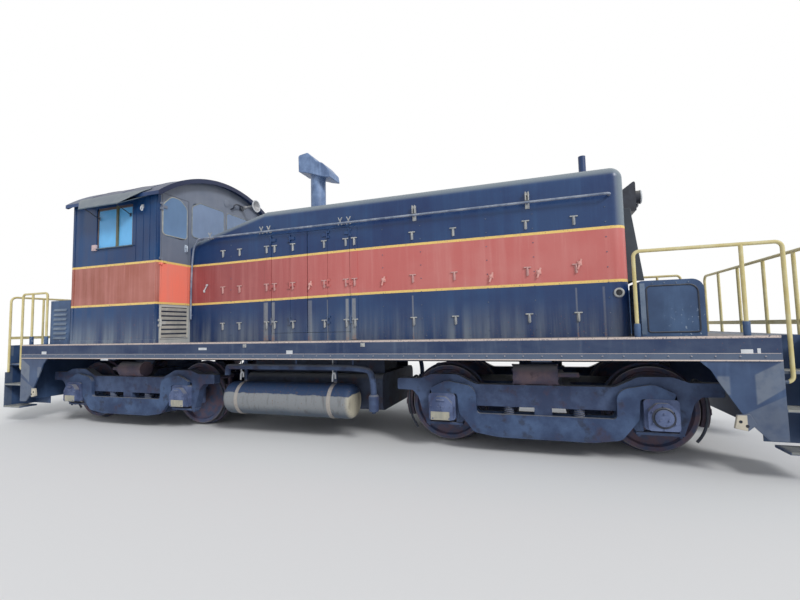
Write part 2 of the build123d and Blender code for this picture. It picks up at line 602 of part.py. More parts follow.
def cab_end_wall(x_out, windows):
    """End wall with the doorway on the right and windows, outer face at x_out."""
    inner_y = CAB_Y - CAB_T
    wall = block(x_out - CAB_T, x_out, -inner_y, inner_y, DECK_Z, ROOF_PEAK_Z)
    wall &= under_roof(ROOF_R - ROOF_T - FIT)
    wall -= block(x_out - CAB_T - 1, x_out + 1, DOOR_HINGE_Y, DOOR_FREE_Y, DOOR_Z0, DOOR_Z1)
    for box in windows:
        wall -= window_x(box, x_out - CAB_T - 1, x_out + 1)
    for z in DOOR_HINGES_Z:
        wall += door_hinge_root(x_out, z)
    return wall


def cab_door(x_out):
    """Cab door leaf with its window opening and barrels, closed, outer face at x_out."""
    width = DOOR_FREE_Y - DOOR_HINGE_Y
    y1 = DOOR_FREE_Y - CLEAR - swing(width, CAB_T + HINGE_OFF)
    leaf = block(x_out - CAB_T, x_out, DOOR_HINGE_Y + CLEAR, y1, DOOR_Z0 + CLEAR, DOOR_Z1 - CLEAR)
    leaf -= window_x(DOOR_WINDOW, x_out - CAB_T - 1, x_out + 1)
    for z in DOOR_HINGES_Z:
        z0, z1 = z - 25 + FIT, z + 25 - FIT
        x, y = x_out + HINGE_OFF, DOOR_HINGE_Y
        barrel = rod_z(x, y, z0, z1, HINGE_R)
        barrel += block(x - 6, x, y, y + 90, z0, z1)
        barrel += block(x_out - 1, x, y + 40, y + 90, z0, z1)
        barrel -= rod_z(x, y, z0 - 1, z1 + 1, HINGE_PIN_R + FIT)
        leaf += barrel
    return leaf


def cab_centred(shape):
    """The same shape at the other end of the cab, turned half round."""
    middle = (CAB_FRONT_X + CAB_REAR_X) / 2
    return Pos(2 * middle, 0, 0) * Rot(0, 0, 180) * shape


def cab_roof():
    """Arched roof sheet with lips at both ends."""
    x0, x1 = CAB_REAR_X - 60, CAB_FRONT_X + ROOF_OVERHANG
    keep = block(x0, x1, -ROOF_EAVE_Y, ROOF_EAVE_Y, ROOF_EAVE_Z - 60, ROOF_PEAK_Z + 10)
    roof = (rod_x(x0, x1, 0, ROOF_CENTRE_Z, ROOF_R) - rod_x(x0 - 1, x1 + 1, 0, ROOF_CENTRE_Z, ROOF_R - ROOF_T))
    lips = rod_x(x0, x0 + 15, 0, ROOF_CENTRE_Z, ROOF_R) + rod_x(x1 - 15, x1, 0, ROOF_CENTRE_Z, ROOF_R)
    lips -= rod_x(x0 - 1, x1 + 1, 0, ROOF_CENTRE_Z, ROOF_R - ROOF_T - 30)
    return (roof + lips) & keep


def cab_glass():
    """Panes of the side and end windows."""
    y = -CAB_Y + CAB_T / 2
    side = window_y(SIDE_WINDOW, y - GLASS_T / 2, y + GLASS_T / 2, FIT)
    panes = both_sides(side)
    x = CAB_FRONT_X - CAB_T / 2
    panes += [window_x(box, x - GLASS_T / 2, x + GLASS_T / 2, FIT) for box in FRONT_WINDOWS]
    panes += [cab_centred(window_x(box, x - GLASS_T / 2, x + GLASS_T / 2, FIT)) for box in REAR_WINDOWS]
    return group(panes)


def awning():
    """Sloping sheet above the right side window."""
    high = (-CAB_Y, RAIL_Z + 3790)
    low = (-1790.0, RAIL_Z + 3612)
    length = hypot(low[0] - high[0], low[1] - high[1])
    angle = degrees(atan2(high[1] - low[1], high[0] - low[0]))
    outline = [(-4050, 0), (-2620, 0), (-2900, -length), (-3790, -length)]
    sheet = extrude(make_face(Polyline(*outline, close=True)), amount=10)
    return Pos(0, high[0], high[1] - 12) * Rot(angle, 0, 0) * sheet


def horn():
    """Single air horn on the front wall of the cab, under the visor."""
    bell = [(0, 0), (35, 0), (35, 130), (22, 160), (30, 260), (60, 330), (115, 380), (105, 380), (50, 332), (0, 300)]
    return Pos(CAB_FRONT_X, 450, RAIL_Z + 4080) * Rot(0, 90, 0) * revolve(
        Plane.XZ * make_face(Polyline(*bell, close=True)), axis=Axis.Z)


def control_stand():
    """Driver's control stand in the right front corner of the cab."""
    outline = [(-3060, 0, 20), (-2660, 0, 20), (-2660, 1080, 60), (-2860, 1150, 40), (-3060, 900, 40)]
    return plate_xz([(x, DOOR_Z0 + z, r) for x, z, r in outline], -780, -420)


def driver_seat():
    """Metal seat on its pedestal."""
    seat = rod_z(-3500, -900, DOOR_Z0, DOOR_Z0 + 480, 45) + rod_z(-3500, -900, DOOR_Z0, DOOR_Z0 + 20, 170)
    seat += block(-3720, -3280, -1110, -690, DOOR_Z0 + 470, DOOR_Z0 + 520)
    seat += block(-3740, -3690, -1100, -700, DOOR_Z0 + 480, DOOR_Z0 + 1000)
    return seat


# What stands on the decks and hangs under them

def front_deck_boxes():
    """Battery boxes in front of the hood, one on each side."""
    outline = [(4490, DECK_Z, 0), (5130, DECK_Z, 0), (5130, RAIL_Z + 2020, 120), (4490, RAIL_Z + 2020, 20)]
    return group(both_sides(plate_xz(outline, -1000, -450)))


def rear_deck_box():
    """Louvred cabinet behind the cab."""
    return block(-5210, -4690, -1280, -760, DECK_Z, RAIL_Z + 2170)


def front_headlight():
    """Twin headlight on its bracket at the top of the hood front."""
    outline = [(HOOD_FRONT_X, RAIL_Z + 3060, 0), (4690, RAIL_Z + 3060, 20), (4690, RAIL_Z + 3490, 20),
               (HOOD_FRONT_X, RAIL_Z + 3300, 0)]
    lamp = plate_xz(outline, -190, 190)
    for y in (-95, 95):
        lamp += rod_x(4600, 4750, y, RAIL_Z + 3270, 90)
    return lamp


def rear_headlight():
    """Headlight high on the rear wall of the cab."""
    x = CAB_REAR_X
    lamp = block(x - 160, x, -190, 190, RAIL_Z + 3850, RAIL_Z + 4060)
    for y in (-95, 95):
        lamp += rod_x(x - 200, x - 100, y, RAIL_Z + 3955, 90)
    return lamp


TANK_TOP_Z = RAIL_Z + 860.0


def fuel_tank():
    """Fuel tank between the trucks with its hangers."""
    outline = [(-780, RAIL_Z + 330, 90), (780, RAIL_Z + 330, 90), (780, TANK_TOP_Z, 110), (-780, TANK_TOP_Z, 110)]
    tank = plate_yz(outline, -1220, 1150)
    top = DECK_Z - DECK_T - CENTRE_SILL_H
    for x in (-1000, 930):
        tank += block(x - 60, x + 60, -380, 380, TANK_TOP_Z - 5, top)
    return tank


def air_reservoir():
    """Main air reservoir under the right sill with its two straps."""
    y, z, r = -1050, RAIL_Z + 510, 245
    tank = rod_x(-1300, 850, y, z, r)
    tank = fillet(tank.edges().filter_by(GeomType.CIRCLE), 90)
    for x in (-1030, 530):
        tank += rod_x(x - 25, x + 25, y, z, r + 8)
        tank += block(x - 25, x + 25, y - 10, y + 10, z + r - 10, DECK_Z - DECK_T)
    return tank


def build():
    """All nodes by name."""
    shell = hood_shell()
    nodes = {
        "underframe": underframe(),
        "front_end_plate": end_plate(),
        "rear_end_plate": turned(end_plate()),
        "handrails": group(handrails(*FRONT_POSTS_X), turned(handrails(*REAR_POSTS_X))),
        "couplers": group(coupler(), turned(coupler())),
        "hood_right_side": hood_side(shell),
        "hood_left_side": mirror(hood_side(shell), Plane.XZ),
        "hood_top": hood_top(shell) + top_vent(),
        "radiator_front": radiator_front(shell),
        "engine_block": block(-700, 2700, -420, 420, DECK_Z, RAIL_Z + 3000),
        "exhaust_stack": exhaust(),
        "hood_grab_rails": group(both_sides(grab_rail())),
        "headlights": group(front_headlight(), rear_headlight()),
        "cab_floor": block(CAB_REAR_X + CAB_T, CAB_FRONT_X - CAB_T, -CAB_Y + CAB_T, CAB_Y - CAB_T,
                           DECK_Z, DOOR_Z0),
        "cab_right_wall": cab_side(),
        "cab_left_wall": mirror(cab_side(), Plane.XZ),
        "cab_front_wall": cab_end_wall(CAB_FRONT_X, FRONT_WINDOWS),
        "cab_rear_wall": cab_centred(cab_end_wall(CAB_FRONT_X, REAR_WINDOWS)),
        "cab_roof": cab_roof(),
        "cab_glass": cab_glass(),
        "cab_awnings": group(both_sides(awning())),
        "cab_front_door": cab_door(CAB_FRONT_X),
        "cab_rear_door": cab_centred(cab_door(CAB_FRONT_X)),
        "control_stand": control_stand(),
        "driver_seat": driver_seat(),
        "air_horn": horn(),
        "deck_boxes": group(front_deck_boxes(), rear_deck_box()),
        "fuel_tank": fuel_tank(),
        "air_reservoirs": group(both_sides(air_reservoir())),
    }
    for name, post_x, fold_x, direction in HOOD_DOORS:
        inner = inner_leaf(post_x, fold_x, direction)
        outer = outer_leaf(fold_x, direction)
        for half, leaf in (("inner", inner), ("outer", outer)):
            nodes[f"hood_right_{name}_{half}_leaf"] = leaf
            nodes[f"hood_left_{name}_{half}_leaf"] = mirror(leaf, Plane.XZ)
    eq_out = -FRAME_OUT_Y - CLEAR - EQ_T
    bars = [equalizer(eq_out), equalizer(-FRAME_IN_Y + CLEAR)]
    boxes = [journal_box(-HALF_BASE), journal_box(HALF_BASE)]
    truck = {
        "frame": truck_frame(),
        "equalizers": group(*[both_sides(bar) for bar in bars]),
        "journal_boxes": group(*[both_sides(box) for box in boxes]),
        "brakes": truck_brakes(),
    }
    wheels = wheelset()
    for end, place in (("front", Pos(TRUCK_X, 0, 0)), ("rear", Pos(-TRUCK_X, 0, 0) * Rot(0, 0, 180))):
        for name, shape in truck.items():
            nodes[f"{end}_truck_{name}"] = place * shape
        for axle, x in (("outer", HALF_BASE), ("inner", -HALF_BASE)):
            nodes[f"{end}_{axle}_wheelset"] = place * (Pos(x, 0, AXLE_Z) * wheels)
    return nodes


for node_name, node_shape in build().items():
    export_step(node_shape, f"parts/{node_name}.step")
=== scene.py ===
"""Finishes and fittings of a four-axle diesel switcher locomotive.

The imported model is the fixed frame. Each sub-assembly below is a class that
dresses its nodes with procedural finishes and adds the fittings that ride on
the same bodies. Lengths are in metres, +X points to the hood end, +Y to the
left side and +Z up, with the floor at z = 0.
"""

from __future__ import annotations

import logging
import math
from dataclasses import dataclass, field
from enum import Enum
from typing import Any, Callable, ClassVar, Iterable, Mapping, Sequence

import bpy
from mathutils import Matrix, Vector

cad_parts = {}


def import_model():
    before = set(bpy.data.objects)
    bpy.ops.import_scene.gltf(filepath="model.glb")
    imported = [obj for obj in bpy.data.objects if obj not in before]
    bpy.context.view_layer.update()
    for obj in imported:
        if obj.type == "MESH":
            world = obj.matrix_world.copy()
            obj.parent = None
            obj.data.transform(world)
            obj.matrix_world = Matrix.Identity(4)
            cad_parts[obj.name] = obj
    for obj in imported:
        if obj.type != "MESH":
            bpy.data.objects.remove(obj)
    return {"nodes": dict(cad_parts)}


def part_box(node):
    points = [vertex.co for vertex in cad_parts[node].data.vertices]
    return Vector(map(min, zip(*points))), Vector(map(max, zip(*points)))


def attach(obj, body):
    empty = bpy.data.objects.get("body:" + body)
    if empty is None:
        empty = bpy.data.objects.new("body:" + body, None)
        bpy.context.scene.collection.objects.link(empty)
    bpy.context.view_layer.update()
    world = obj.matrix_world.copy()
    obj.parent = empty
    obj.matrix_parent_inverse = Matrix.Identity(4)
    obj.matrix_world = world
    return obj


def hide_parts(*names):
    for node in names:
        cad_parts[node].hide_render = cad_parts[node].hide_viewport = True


LOG = logging.getLogger("locomotive")

RAIL_Z = 0.028            # tread level, the flanges reach down to the floor
DECK_Z = 1.397
STRIPE_LOW_Z = RAIL_Z + 2.018
STRIPE_HIGH_Z = RAIL_Z + 2.690
STRIPE_HALF = 0.0175
STRIPE_LIFT = 0.040       # how much the stripes rise along the hood
BAND_MIDDLE_Z = (STRIPE_LOW_Z + STRIPE_HIGH_Z) / 2
BAND_HALF = (STRIPE_HIGH_Z - STRIPE_LOW_Z) / 2
HEX = 6                   # sides of a nut or a bolt head
ORIGIN = (0.0, 0.0, 0.0)
BOTH_SIDES = (("right", -1), ("left", 1))
ENDS = ("front", "rear")
HALF_TURN = Matrix.Rotation(math.pi, 4, "Z")
BOTH_ENDS = (Matrix.Identity(4), HALF_TURN)
Row = tuple[float, ...]
Piece = bpy.types.Object
Pieces = Iterable[Piece]
Material = bpy.types.Material
Colour = tuple[float, float, float]
Place = Sequence[float]  # x, y and z
Point = tuple[float, float]
Outline = tuple[Point, ...]
Corner = tuple[float, float, float]  # u, v and radius of an outline's corner


class Axis(Enum):
    """Direction that a round piece or a plate's thickness follows."""

    X = Vector((1, 0, 0))
    Y = Vector((0, 1, 0))
    Z = Vector((0, 0, 1))


MIRROR = Matrix.Scale(-1, 4, Axis.Y.value)


def rgb(red: int, green: int, blue: int) -> Colour:
    """Linear colour of a paint chart's 0 to 255 values.

    Args:
        red: Red value.
        green: Green value.
        blue: Blue value.

    Returns:
        The colour as Blender's sockets take it.
    """
    def linear(value: int) -> float:
        """One channel without its display curve."""
        part = value / 255
        return part / 12.92 if part <= 0.04045 else ((part + 0.055) / 1.055) ** 2.4
    return linear(red), linear(green), linear(blue)


def rounded(corners: Sequence[Corner], steps: int = 6) -> list[Point]:
    """Points of an outline with rounded corners.

    Args:
        corners: Rows of (u, v, radius).
        steps: Steps round each corner.

    Returns:
        The points in order.
    """
    points = []
    for index, (u, v, radius) in enumerate(corners):
        here = Vector((u, v))
        back = (Vector(corners[index - 1][:2]) - here).normalized()
        ahead = (Vector(corners[(index + 1) % len(corners)][:2]) - here).normalized()
        half = back.angle(ahead) / 2
        centre = here + (back + ahead).normalized() * (radius / math.sin(half))
        start, end = here + back * (radius / math.tan(half)), here + ahead * (radius / math.tan(half))
        sweep = (start - centre).angle_signed(end - centre)
        for step in range(steps + 1):
            turn = Matrix.Rotation(-sweep * step / steps, 2)
            points.append(tuple(centre + turn @ (start - centre)))
    return points


class Shade:
    """A shader value that takes arithmetic, so that a finish reads as expressions."""

    def __init__(self, tree: NodeTree, socket: bpy.types.NodeSocket) -> None:
        """Wraps one output socket of the tree."""
        self.tree = tree
        self.socket = socket

    def _with(self, operation: str, first: Any, second: Any) -> Shade:
        """A Math node on two values."""
        return self.tree.node("ShaderNodeMath", {"operation": operation}, {0: first, 1: second})

    def __add__(self, other: Any) -> Shade:
        """Sum."""
        return self._with("ADD", self, other)

    __radd__ = __add__

    def __sub__(self, other: Any) -> Shade:
        """Difference."""
        return self._with("SUBTRACT", self, other)

    def __rsub__(self, other: Any) -> Shade:
        """Difference from a number."""
        return self._with("SUBTRACT", other, self)

    def __mul__(self, other: Any) -> Shade:
        """Product."""
        return self._with("MULTIPLY", self, other)

    __rmul__ = __mul__

    def __pow__(self, other: Any) -> Shade:
        """Power."""
        return self._with("POWER", self, other)

    def __abs__(self) -> Shade:
        """Value without its sign."""
        return self._with("ABSOLUTE", self, 0.0)

    def largest(self, other: Any) -> Shade:
        """The larger of two values."""
        return self._with("MAXIMUM", self, other)

    def rise(self, low: float, high: float) -> Shade:
        """Smooth step from 0 at low to 1 at high; low may be the larger one.

        Args:
            low: Value at which the step starts.
            high: Value at which it is complete.

        Returns:
            The step, between 0 and 1.
        """
        flip = low > high
        ends = {"From Min": min(low, high), "From Max": max(low, high),
                "To Min": float(flip), "To Max": float(not flip)}
        return self.tree.node("ShaderNodeMapRange", {"interpolation_type": "SMOOTHSTEP"},
                              {"Value": self, **ends})

    def band(self, centre: float, half: float, soft: float) -> Shade:
        """1 within half of the centre, with a soft edge."""
        return abs(self - centre).rise(half + soft, half - soft)


class NodeTree:
    """Shader tree that takes each node with its settings and inputs."""

    def __init__(self, tree: bpy.types.NodeTree) -> None:
        """Empties the tree."""
        self.tree = tree
        tree.nodes.clear()

    def node(self, kind: str, settings: Mapping[str, Any], inputs: Mapping[Any, Any], output: Any = 0) -> Shade:
        """Adds a node.

        Args:
            kind: The node's type.
            settings: Properties set before its sockets.
            inputs: Values or links by socket name or number.
            output: Which output socket to return.

        Returns:
            The chosen output.
        """
        made = self.tree.nodes.new(kind)
        for key, value in settings.items():
            setattr(made, key, value)
        for key, value in inputs.items():
            socket = made.inputs[key]
            if isinstance(value, Shade):
                self.tree.links.new(value.socket, socket)
            elif socket.type == "RGBA":
                socket.default_value = (*value, 1.0)
            else:
                socket.default_value = value
        return Shade(self, made.outputs[output])

    def end(self, kind: str, shader: Shade) -> None:
        """Links the shader to an output node of that kind."""
        self.tree.links.new(shader.socket, self.tree.nodes.new(kind).inputs["Surface"])


class Recipe(NodeTree):
    """Node tree of one finish, with the patterns that the finishes share."""

    def __init__(self, name: str) -> None:
        """Starts an empty material of that name."""
        self.material = bpy.data.materials.new(name)
        self.material.use_nodes = True
        super().__init__(self.material.node_tree)
        self._coordinates: Shade | None = None

    def place(self) -> Shade:
        """Object coordinates, in metres."""
        if self._coordinates is None:
            self._coordinates = self.node("ShaderNodeTexCoord", {}, {}, "Object")
        return self._coordinates

    def axes(self, centre: Place = (0, 0, 0)) -> tuple[Shade, Shade, Shade]:
        """X, Y and Z from a centre."""
        moved = self.node("ShaderNodeMapping", {}, {"Vector": self.place(), "Location": [-c for c in centre]})
        parts = [self.node("ShaderNodeSeparateXYZ", {}, {0: moved}, axis) for axis in range(3)]
        return parts[0], parts[1], parts[2]

    def noise(self, scale: float, detail: float = 4.0, stretch: Place = (1, 1, 1),
              seed: float = 0.0, roughness: float = 0.55) -> Shade:
        """Clouded pattern between 0 and 1.

        Args:
            scale: Repeats in a metre.
            detail: Octaves.
            stretch: Scale along each axis; a small share draws the pattern out.
            seed: Moves the pattern to another place.
            roughness: Weight of the fine octaves.

        Returns:
            The pattern.
        """
        spot = self.node("ShaderNodeMapping", {},
                         {"Vector": self.place(), "Location": (seed, seed * 0.7, -seed),
                          "Scale": tuple(stretch)})
        return self.node("ShaderNodeTexNoise", {}, {"Vector": spot, "Scale": scale, "Detail": detail,
                                                    "Roughness": roughness})

    def facing(self) -> tuple[Shade, Shade, Shade]:
        """X, Y and Z of the surface's normal."""
        normal = self.node("ShaderNodeNewGeometry", {}, {}, "Normal")
        parts = [self.node("ShaderNodeSeparateXYZ", {}, {0: normal}, axis) for axis in range(3)]
        return parts[0], parts[1], parts[2]

    def mix(self, share: Any, first: Any, second: Any) -> Shade:
        """Colour between the first and the second."""
        return self.node("ShaderNodeMix", {"data_type": "RGBA"}, {0: share, 6: first, 7: second}, 2)

    def bump(self, height: Shade, depth: float, strength: float = 1.0) -> Shade:
        """Normal of a height pattern with its depth in metres."""
        return self.node("ShaderNodeBump", {}, {"Height": height, "Distance": depth, "Strength": strength})

    def surface(self, **sockets: Any) -> Shade:
        """The main shader, with spaces in the sockets' names written as underscores."""
        named = {key.replace("_", " "): value for key, value in sockets.items()}
        return self.node("ShaderNodeBsdfPrincipled", {}, named)

    def finish(self, shader: Shade) -> Material:
        """Links the shader to the output and returns the material."""
        self.end("ShaderNodeOutputMaterial", shader)
        return self.material


@dataclass(frozen=True)
class LiveryPaint:
    """Faded body paint with a broad band between two stripes, streaked by the weather."""

    name: str
    ground: Colour
    ground_faded: Colour
    band_start: Colour
    band_end: Colour
    band_x: Point           # where the band's two colours lie
    dust: Colour = rgb(150, 158, 160)
    stripe: Colour = rgb(240, 205, 120)
    rust: Colour = rgb(150, 84, 52)
    low_z: float = 1.42
    streaks: float = 0.45
    panel: Colour | None = None           # paint below the lower stripe, where it differs; painted shade also goes on what faces down there
    rubbed: tuple[Row, ...] = ()     # x, half width and strength of rubbed strips
    corner_x: float | None = None         # where the hood's front corner starts to turn and its painted highlight begins
    grille: Row | None = None             # half width, foot, top and back of the dark opening

    def material(self) -> Material:
        """Builds the paint.

        Returns:
            Its material.
        """
        paint = Recipe(self.name)
        x, y, z = paint.axes()
        ahead, _, up = paint.facing()
        streak = paint.noise(7.0, 5.0, (1.0, 1.0, 0.06), 3.1)
        fine_streak = paint.noise(34.0, 4.0, (1.0, 1.0, 0.05), 8.3)
        cloud = paint.noise(0.9, 5.0, (1, 1, 1.4), 1.7)
        grain = paint.noise(55.0, 5.0)
        faded = (streak.rise(0.42, 0.72) * 0.7 + fine_streak.rise(0.5, 0.8) * 0.5) * self.streaks
        colour = paint.mix(cloud.rise(0.35, 0.68) * 0.55 + faded, self.ground, self.ground_faded)
        # Painted highlight: what faces up along the hood's top shoulder, and what turns ahead round its front
        # corner, is lightened to pale grey.
        if self.corner_x is not None:
            above = z.rise(STRIPE_HIGH_Z - 0.1, STRIPE_HIGH_Z + 0.1)
            turned = ahead.rise(0.10, 0.70) * x.rise(self.corner_x, self.corner_x + 0.05) * above * 0.75
            shoulder_highlight = up.rise(0.12, 0.5) * 0.55
            colour = paint.mix(shoulder_highlight + turned * (1 - shoulder_highlight), colour, rgb(128, 140, 146))
        band = paint.mix(x.rise(*self.band_x), self.band_start, self.band_end)
        washed = paint.mix(faded * 0.8 + cloud.rise(0.45, 0.7) * 0.2, band, rgb(214, 150, 144))
        edge = z + (grain - 0.5) * 0.006 - x.rise(-2.4, 1.6) * STRIPE_LIFT
        colour = paint.mix(edge.band(BAND_MIDDLE_Z, BAND_HALF, 0.002), colour, washed)
        lines = edge.band(STRIPE_LOW_Z, STRIPE_HALF, 0.002) + edge.band(STRIPE_HIGH_Z, STRIPE_HALF, 0.002)
        colour = paint.mix(lines * grain.rise(0.30, 0.42) * (1 - faded * 0.4), colour, self.stripe)
        below = z.rise(STRIPE_LOW_Z - 0.02, STRIPE_LOW_Z - 0.035)
        if self.panel:
            colour = paint.mix(below * (0.75 + grain * 0.25), colour, self.panel)
            # Painted shade: what faces down below the lower stripe, such as the louvre slats' undersides, is
            # darkened.
            colour = paint.mix(below * up.rise(-0.1, -0.4) * 0.85, colour, rgb(44, 50, 60))
        for centre, half, strength in self.rubbed:
            strip = x.band(centre, half, 0.008)
            colour = paint.mix(strip * below * (streak * 0.5 + grain * 0.5) * strength * 1.3, colour,
                               rgb(158, 160, 160))
            rusted = strip * z.rise(1.52, 1.42) * grain.rise(0.42, 0.6)
            colour = paint.mix(rusted * strength, colour, self.rust)
        if self.grille:
            half_y, low, high, back_x = self.grille
            inside = (abs(y).rise(half_y + 0.004, half_y - 0.004) * z.rise(low - 0.004, low + 0.004)
                      * z.rise(high + 0.004, high - 0.004) * x.rise(back_x - 0.02, back_x))
            colour = paint.mix(inside * 0.92, colour, rgb(34, 42, 54))
        foot = z.rise(self.low_z + 0.55, self.low_z - 0.05)
        colour = paint.mix(foot * streak.rise(0.3, 0.75) * 0.55, colour, self.dust)
        spots = grain.rise(0.64, 0.72) * (foot * 0.9 + 0.12)
        colour = paint.mix(spots, colour, self.rust)
        colour = paint.mix(up.rise(0.15, 0.9) * (0.35 + cloud * 0.4), colour, self.dust)
        wavy = paint.noise(2.2, 2.0, (1, 1, 1), 5.0) + grain * 0.02
        return paint.finish(paint.surface(
            Base_Color=colour, Roughness=0.34 + faded * 0.5 + up.rise(0.2, 0.9) * 0.2 + spots * 0.3,
            Normal=paint.bump(wavy, 0.012, 0.35)))


@dataclass(frozen=True)
class WornPaint:
    """Plain paint or bare metal with clouds, streaks, chips and dust on what faces up."""

    name: str
    colour: Colour
    faded: Colour
    chip: Colour = rgb(112, 70, 50)
    dust: Colour = rgb(150, 146, 136)
    chips: float = 0.3                    # share of the surface that is chipped, roughly
    dusty: float = 0.35
    scale: float = 4.0
    roughness: float = 0.45
    metallic: float = 0.0
    relief: float = 0.0008

    def markings(self, paint: Recipe, colour: Shade) -> Shade:
        """Colours that lie over the paint; plain paint has none.

        Args:
            paint: The recipe.
            colour: Colour so far.

        Returns:
            The new colour.
        """
        return colour

    def material(self) -> Material:
        """Builds the paint.

        Returns:
            Its material.
        """
        paint = Recipe(self.name)
        _, _, up = paint.facing()
        cloud = paint.noise(self.scale, 5.0, (1, 1, 1), 2.0)
        streak = paint.noise(self.scale * 5, 3.0, (1, 1, 0.1), 6.0)
        grain = paint.noise(self.scale * 14, 6.0, (1, 1, 1), 4.0, 0.65)
        colour = paint.mix(cloud.rise(0.32, 0.7) * 0.6 + streak.rise(0.5, 0.8) * 0.35, self.colour, self.faded)
        edge = 0.74 - 0.22 * self.chips
        chipped = (grain * 0.6 + cloud * 0.4).rise(edge - 0.03, edge + 0.03)
        colour = self.markings(paint, paint.mix(chipped, colour, self.chip))
        settled = up.rise(0.1, 0.85) * (0.45 + cloud * 0.6) * self.dusty
        colour = paint.mix(settled, colour, self.dust)
        rough = chipped * 0.3 + settled * 0.3 + cloud * 0.12 + (self.roughness - 0.06)
        return paint.finish(paint.surface(
            Base_Color=colour, Roughness=rough, Metallic=(1 - settled) * self.metallic,
            Normal=paint.bump(grain - chipped * 0.5, self.relief, 0.7)))


@dataclass(frozen=True)
class RailPaint(WornPaint):
    """Handrail paint, with the sockets on the deck in frame colour."""

    socket_z: float = RAIL_Z + 1.522
    socket_x: float = 5.60                # past this the rails run down beside the steps
    socket: Colour = rgb(62, 78, 102)

    def markings(self, paint: Recipe, colour: Shade) -> Shade:
        """Paints the foot of each post.

        Args:
            paint: The recipe.
            colour: Colour so far.

        Returns:
            The new colour.
        """
        x, _, z = paint.axes()
        on_deck = abs(x).rise(self.socket_x, self.socket_x - 0.01)
        foot = z.rise(self.socket_z + 0.006, self.socket_z - 0.006) * on_deck
        return paint.mix(foot, colour, self.socket)


@dataclass(frozen=True)
class HingePaint(WornPaint):
    """Hinge paint that takes the band's colour where the hood's band crosses it."""

    def markings(self, paint: Recipe, colour: Shade) -> Shade:
        """Paints the hinges in the band."""
        _, _, z = paint.axes()
        return paint.mix(z.band(BAND_MIDDLE_Z, BAND_HALF, 0.01) * 0.65, colour, rgb(214, 142, 136))


@dataclass(frozen=True)
class CasePaint(WornPaint):
    """Battery case paint, flaked to pale primer near its foot."""

    def markings(self, paint: Recipe, colour: Shade) -> Shade:
        """Paints the flakes.

        Args:
            paint: The recipe.
            colour: Colour so far.

        Returns:
            The new colour.
        """
        x, _, z = paint.axes()
        flakes = paint.noise(26.0, 4.0, (1, 1, 1), 21.0, 0.6).rise(0.62, 0.66)
        reach = abs(x).rise(4.62, 5.05) * z.rise(1.86, 1.50)
        return paint.mix(flakes * reach, colour, rgb(168, 184, 202))


@dataclass(frozen=True)
class RoofPaint(WornPaint):
    """Roof paint, with painted shade on the front and rear edges."""

    def markings(self, paint: Recipe, colour: Shade) -> Shade:
        """Paints shade on the roof's front and rear edges."""
        ahead, _, _ = paint.facing()
        # Painted shade: faces that look ahead or back, such as the visor's edges, are darkened to deep navy.
        return paint.mix(abs(ahead).rise(0.6, 0.8) * 0.85, colour, rgb(10, 22, 58))


@dataclass(frozen=True)
class EndPaint(WornPaint):
    """End plate paint, with paler patches and the bare bracket of its gussets."""

    def markings(self, paint: Recipe, colour: Shade) -> Shade:
        """Paints the gussets' pale patches.

        Args:
            paint: The recipe.
            colour: Colour so far.

        Returns:
            The new colour.
        """
        x, y, z = paint.axes()
        along, side = abs(x), abs(y).rise(1.40, 1.42)
        upper = (along.rise(5.31, 5.33) * (z - along * 0.70).rise(-2.995, -2.975)
                 * (z - along * 0.57).rise(-1.994, -2.014))
        lower = along.rise(5.18, 5.22) * (z - along * 0.535).rise(-2.136, -2.150)
        front = along.band(5.06, 0.05, 0.012) * z.band(0.92, 0.09, 0.012)
        mottle = paint.noise(9.0, 5.0, (1, 1, 1), 12.0).rise(0.25, 0.6)
        colour = paint.mix(upper * side * (0.28 + mottle * 0.28), colour, rgb(128, 136, 146))
        colour = paint.mix(lower * side * (0.22 + mottle * 0.25), colour, rgb(112, 120, 132))
        colour = paint.mix(front * side * (0.25 + mottle * 0.4), colour, rgb(118, 126, 138))
        bracket = along.band(5.17, 0.055, 0.004) * z.band(0.545, 0.092, 0.004)
        return paint.mix(bracket * side * (0.6 + mottle * 0.4), colour, rgb(198, 190, 172))


@dataclass(frozen=True)
class CastIron:
    """Painted castings under road dust, with a painted highlight on what faces up, oil and painted shade
    darkening them low down, and rust patches.
    """

    name: str
    colour: Colour
    pale: Colour
    grime: Colour = rgb(38, 36, 44)
    rust: Colour = rgb(120, 76, 62)
    rusty: float = 0.35
    dark_foot_z: float = 0.35

    def material(self) -> Material:
        """Builds the finish.

        Returns:
            Its material.
        """
        iron = Recipe(self.name)
        _, _, z = iron.axes()
        _, _, up = iron.facing()
        cloud = iron.noise(2.4, 6.0, (1, 1, 1), 1.0, 0.6)
        blotch = iron.noise(7.0, 5.0, (1, 1, 1), 7.0)
        sand = iron.noise(110.0, 4.0, (1, 1, 1), 9.0)
        colour = iron.mix(cloud.rise(0.38, 0.66), self.colour, self.pale)
        colour = iron.mix(blotch.rise(0.55, 0.7) * 0.55, colour, self.grime)
        colour = iron.mix(cloud.rise(0.52, 0.35) * blotch.rise(0.48, 0.62) * self.rusty, colour, self.rust)
        # Darker low down: oil and grime, with painted shade near the floor.
        colour = iron.mix(z.rise(self.dark_foot_z, 0.0) * 0.5, colour, self.grime)
        # Pale grey on what faces up: settled dust, and a painted highlight from above.
        colour = iron.mix(up.rise(0.2, 0.9) * (0.35 + blotch * 0.5), colour, rgb(150, 150, 150))
        return iron.finish(iron.surface(
            Base_Color=colour, Roughness=0.62 + blotch * 0.25, Normal=iron.bump(sand + blotch, 0.0016, 0.6)))


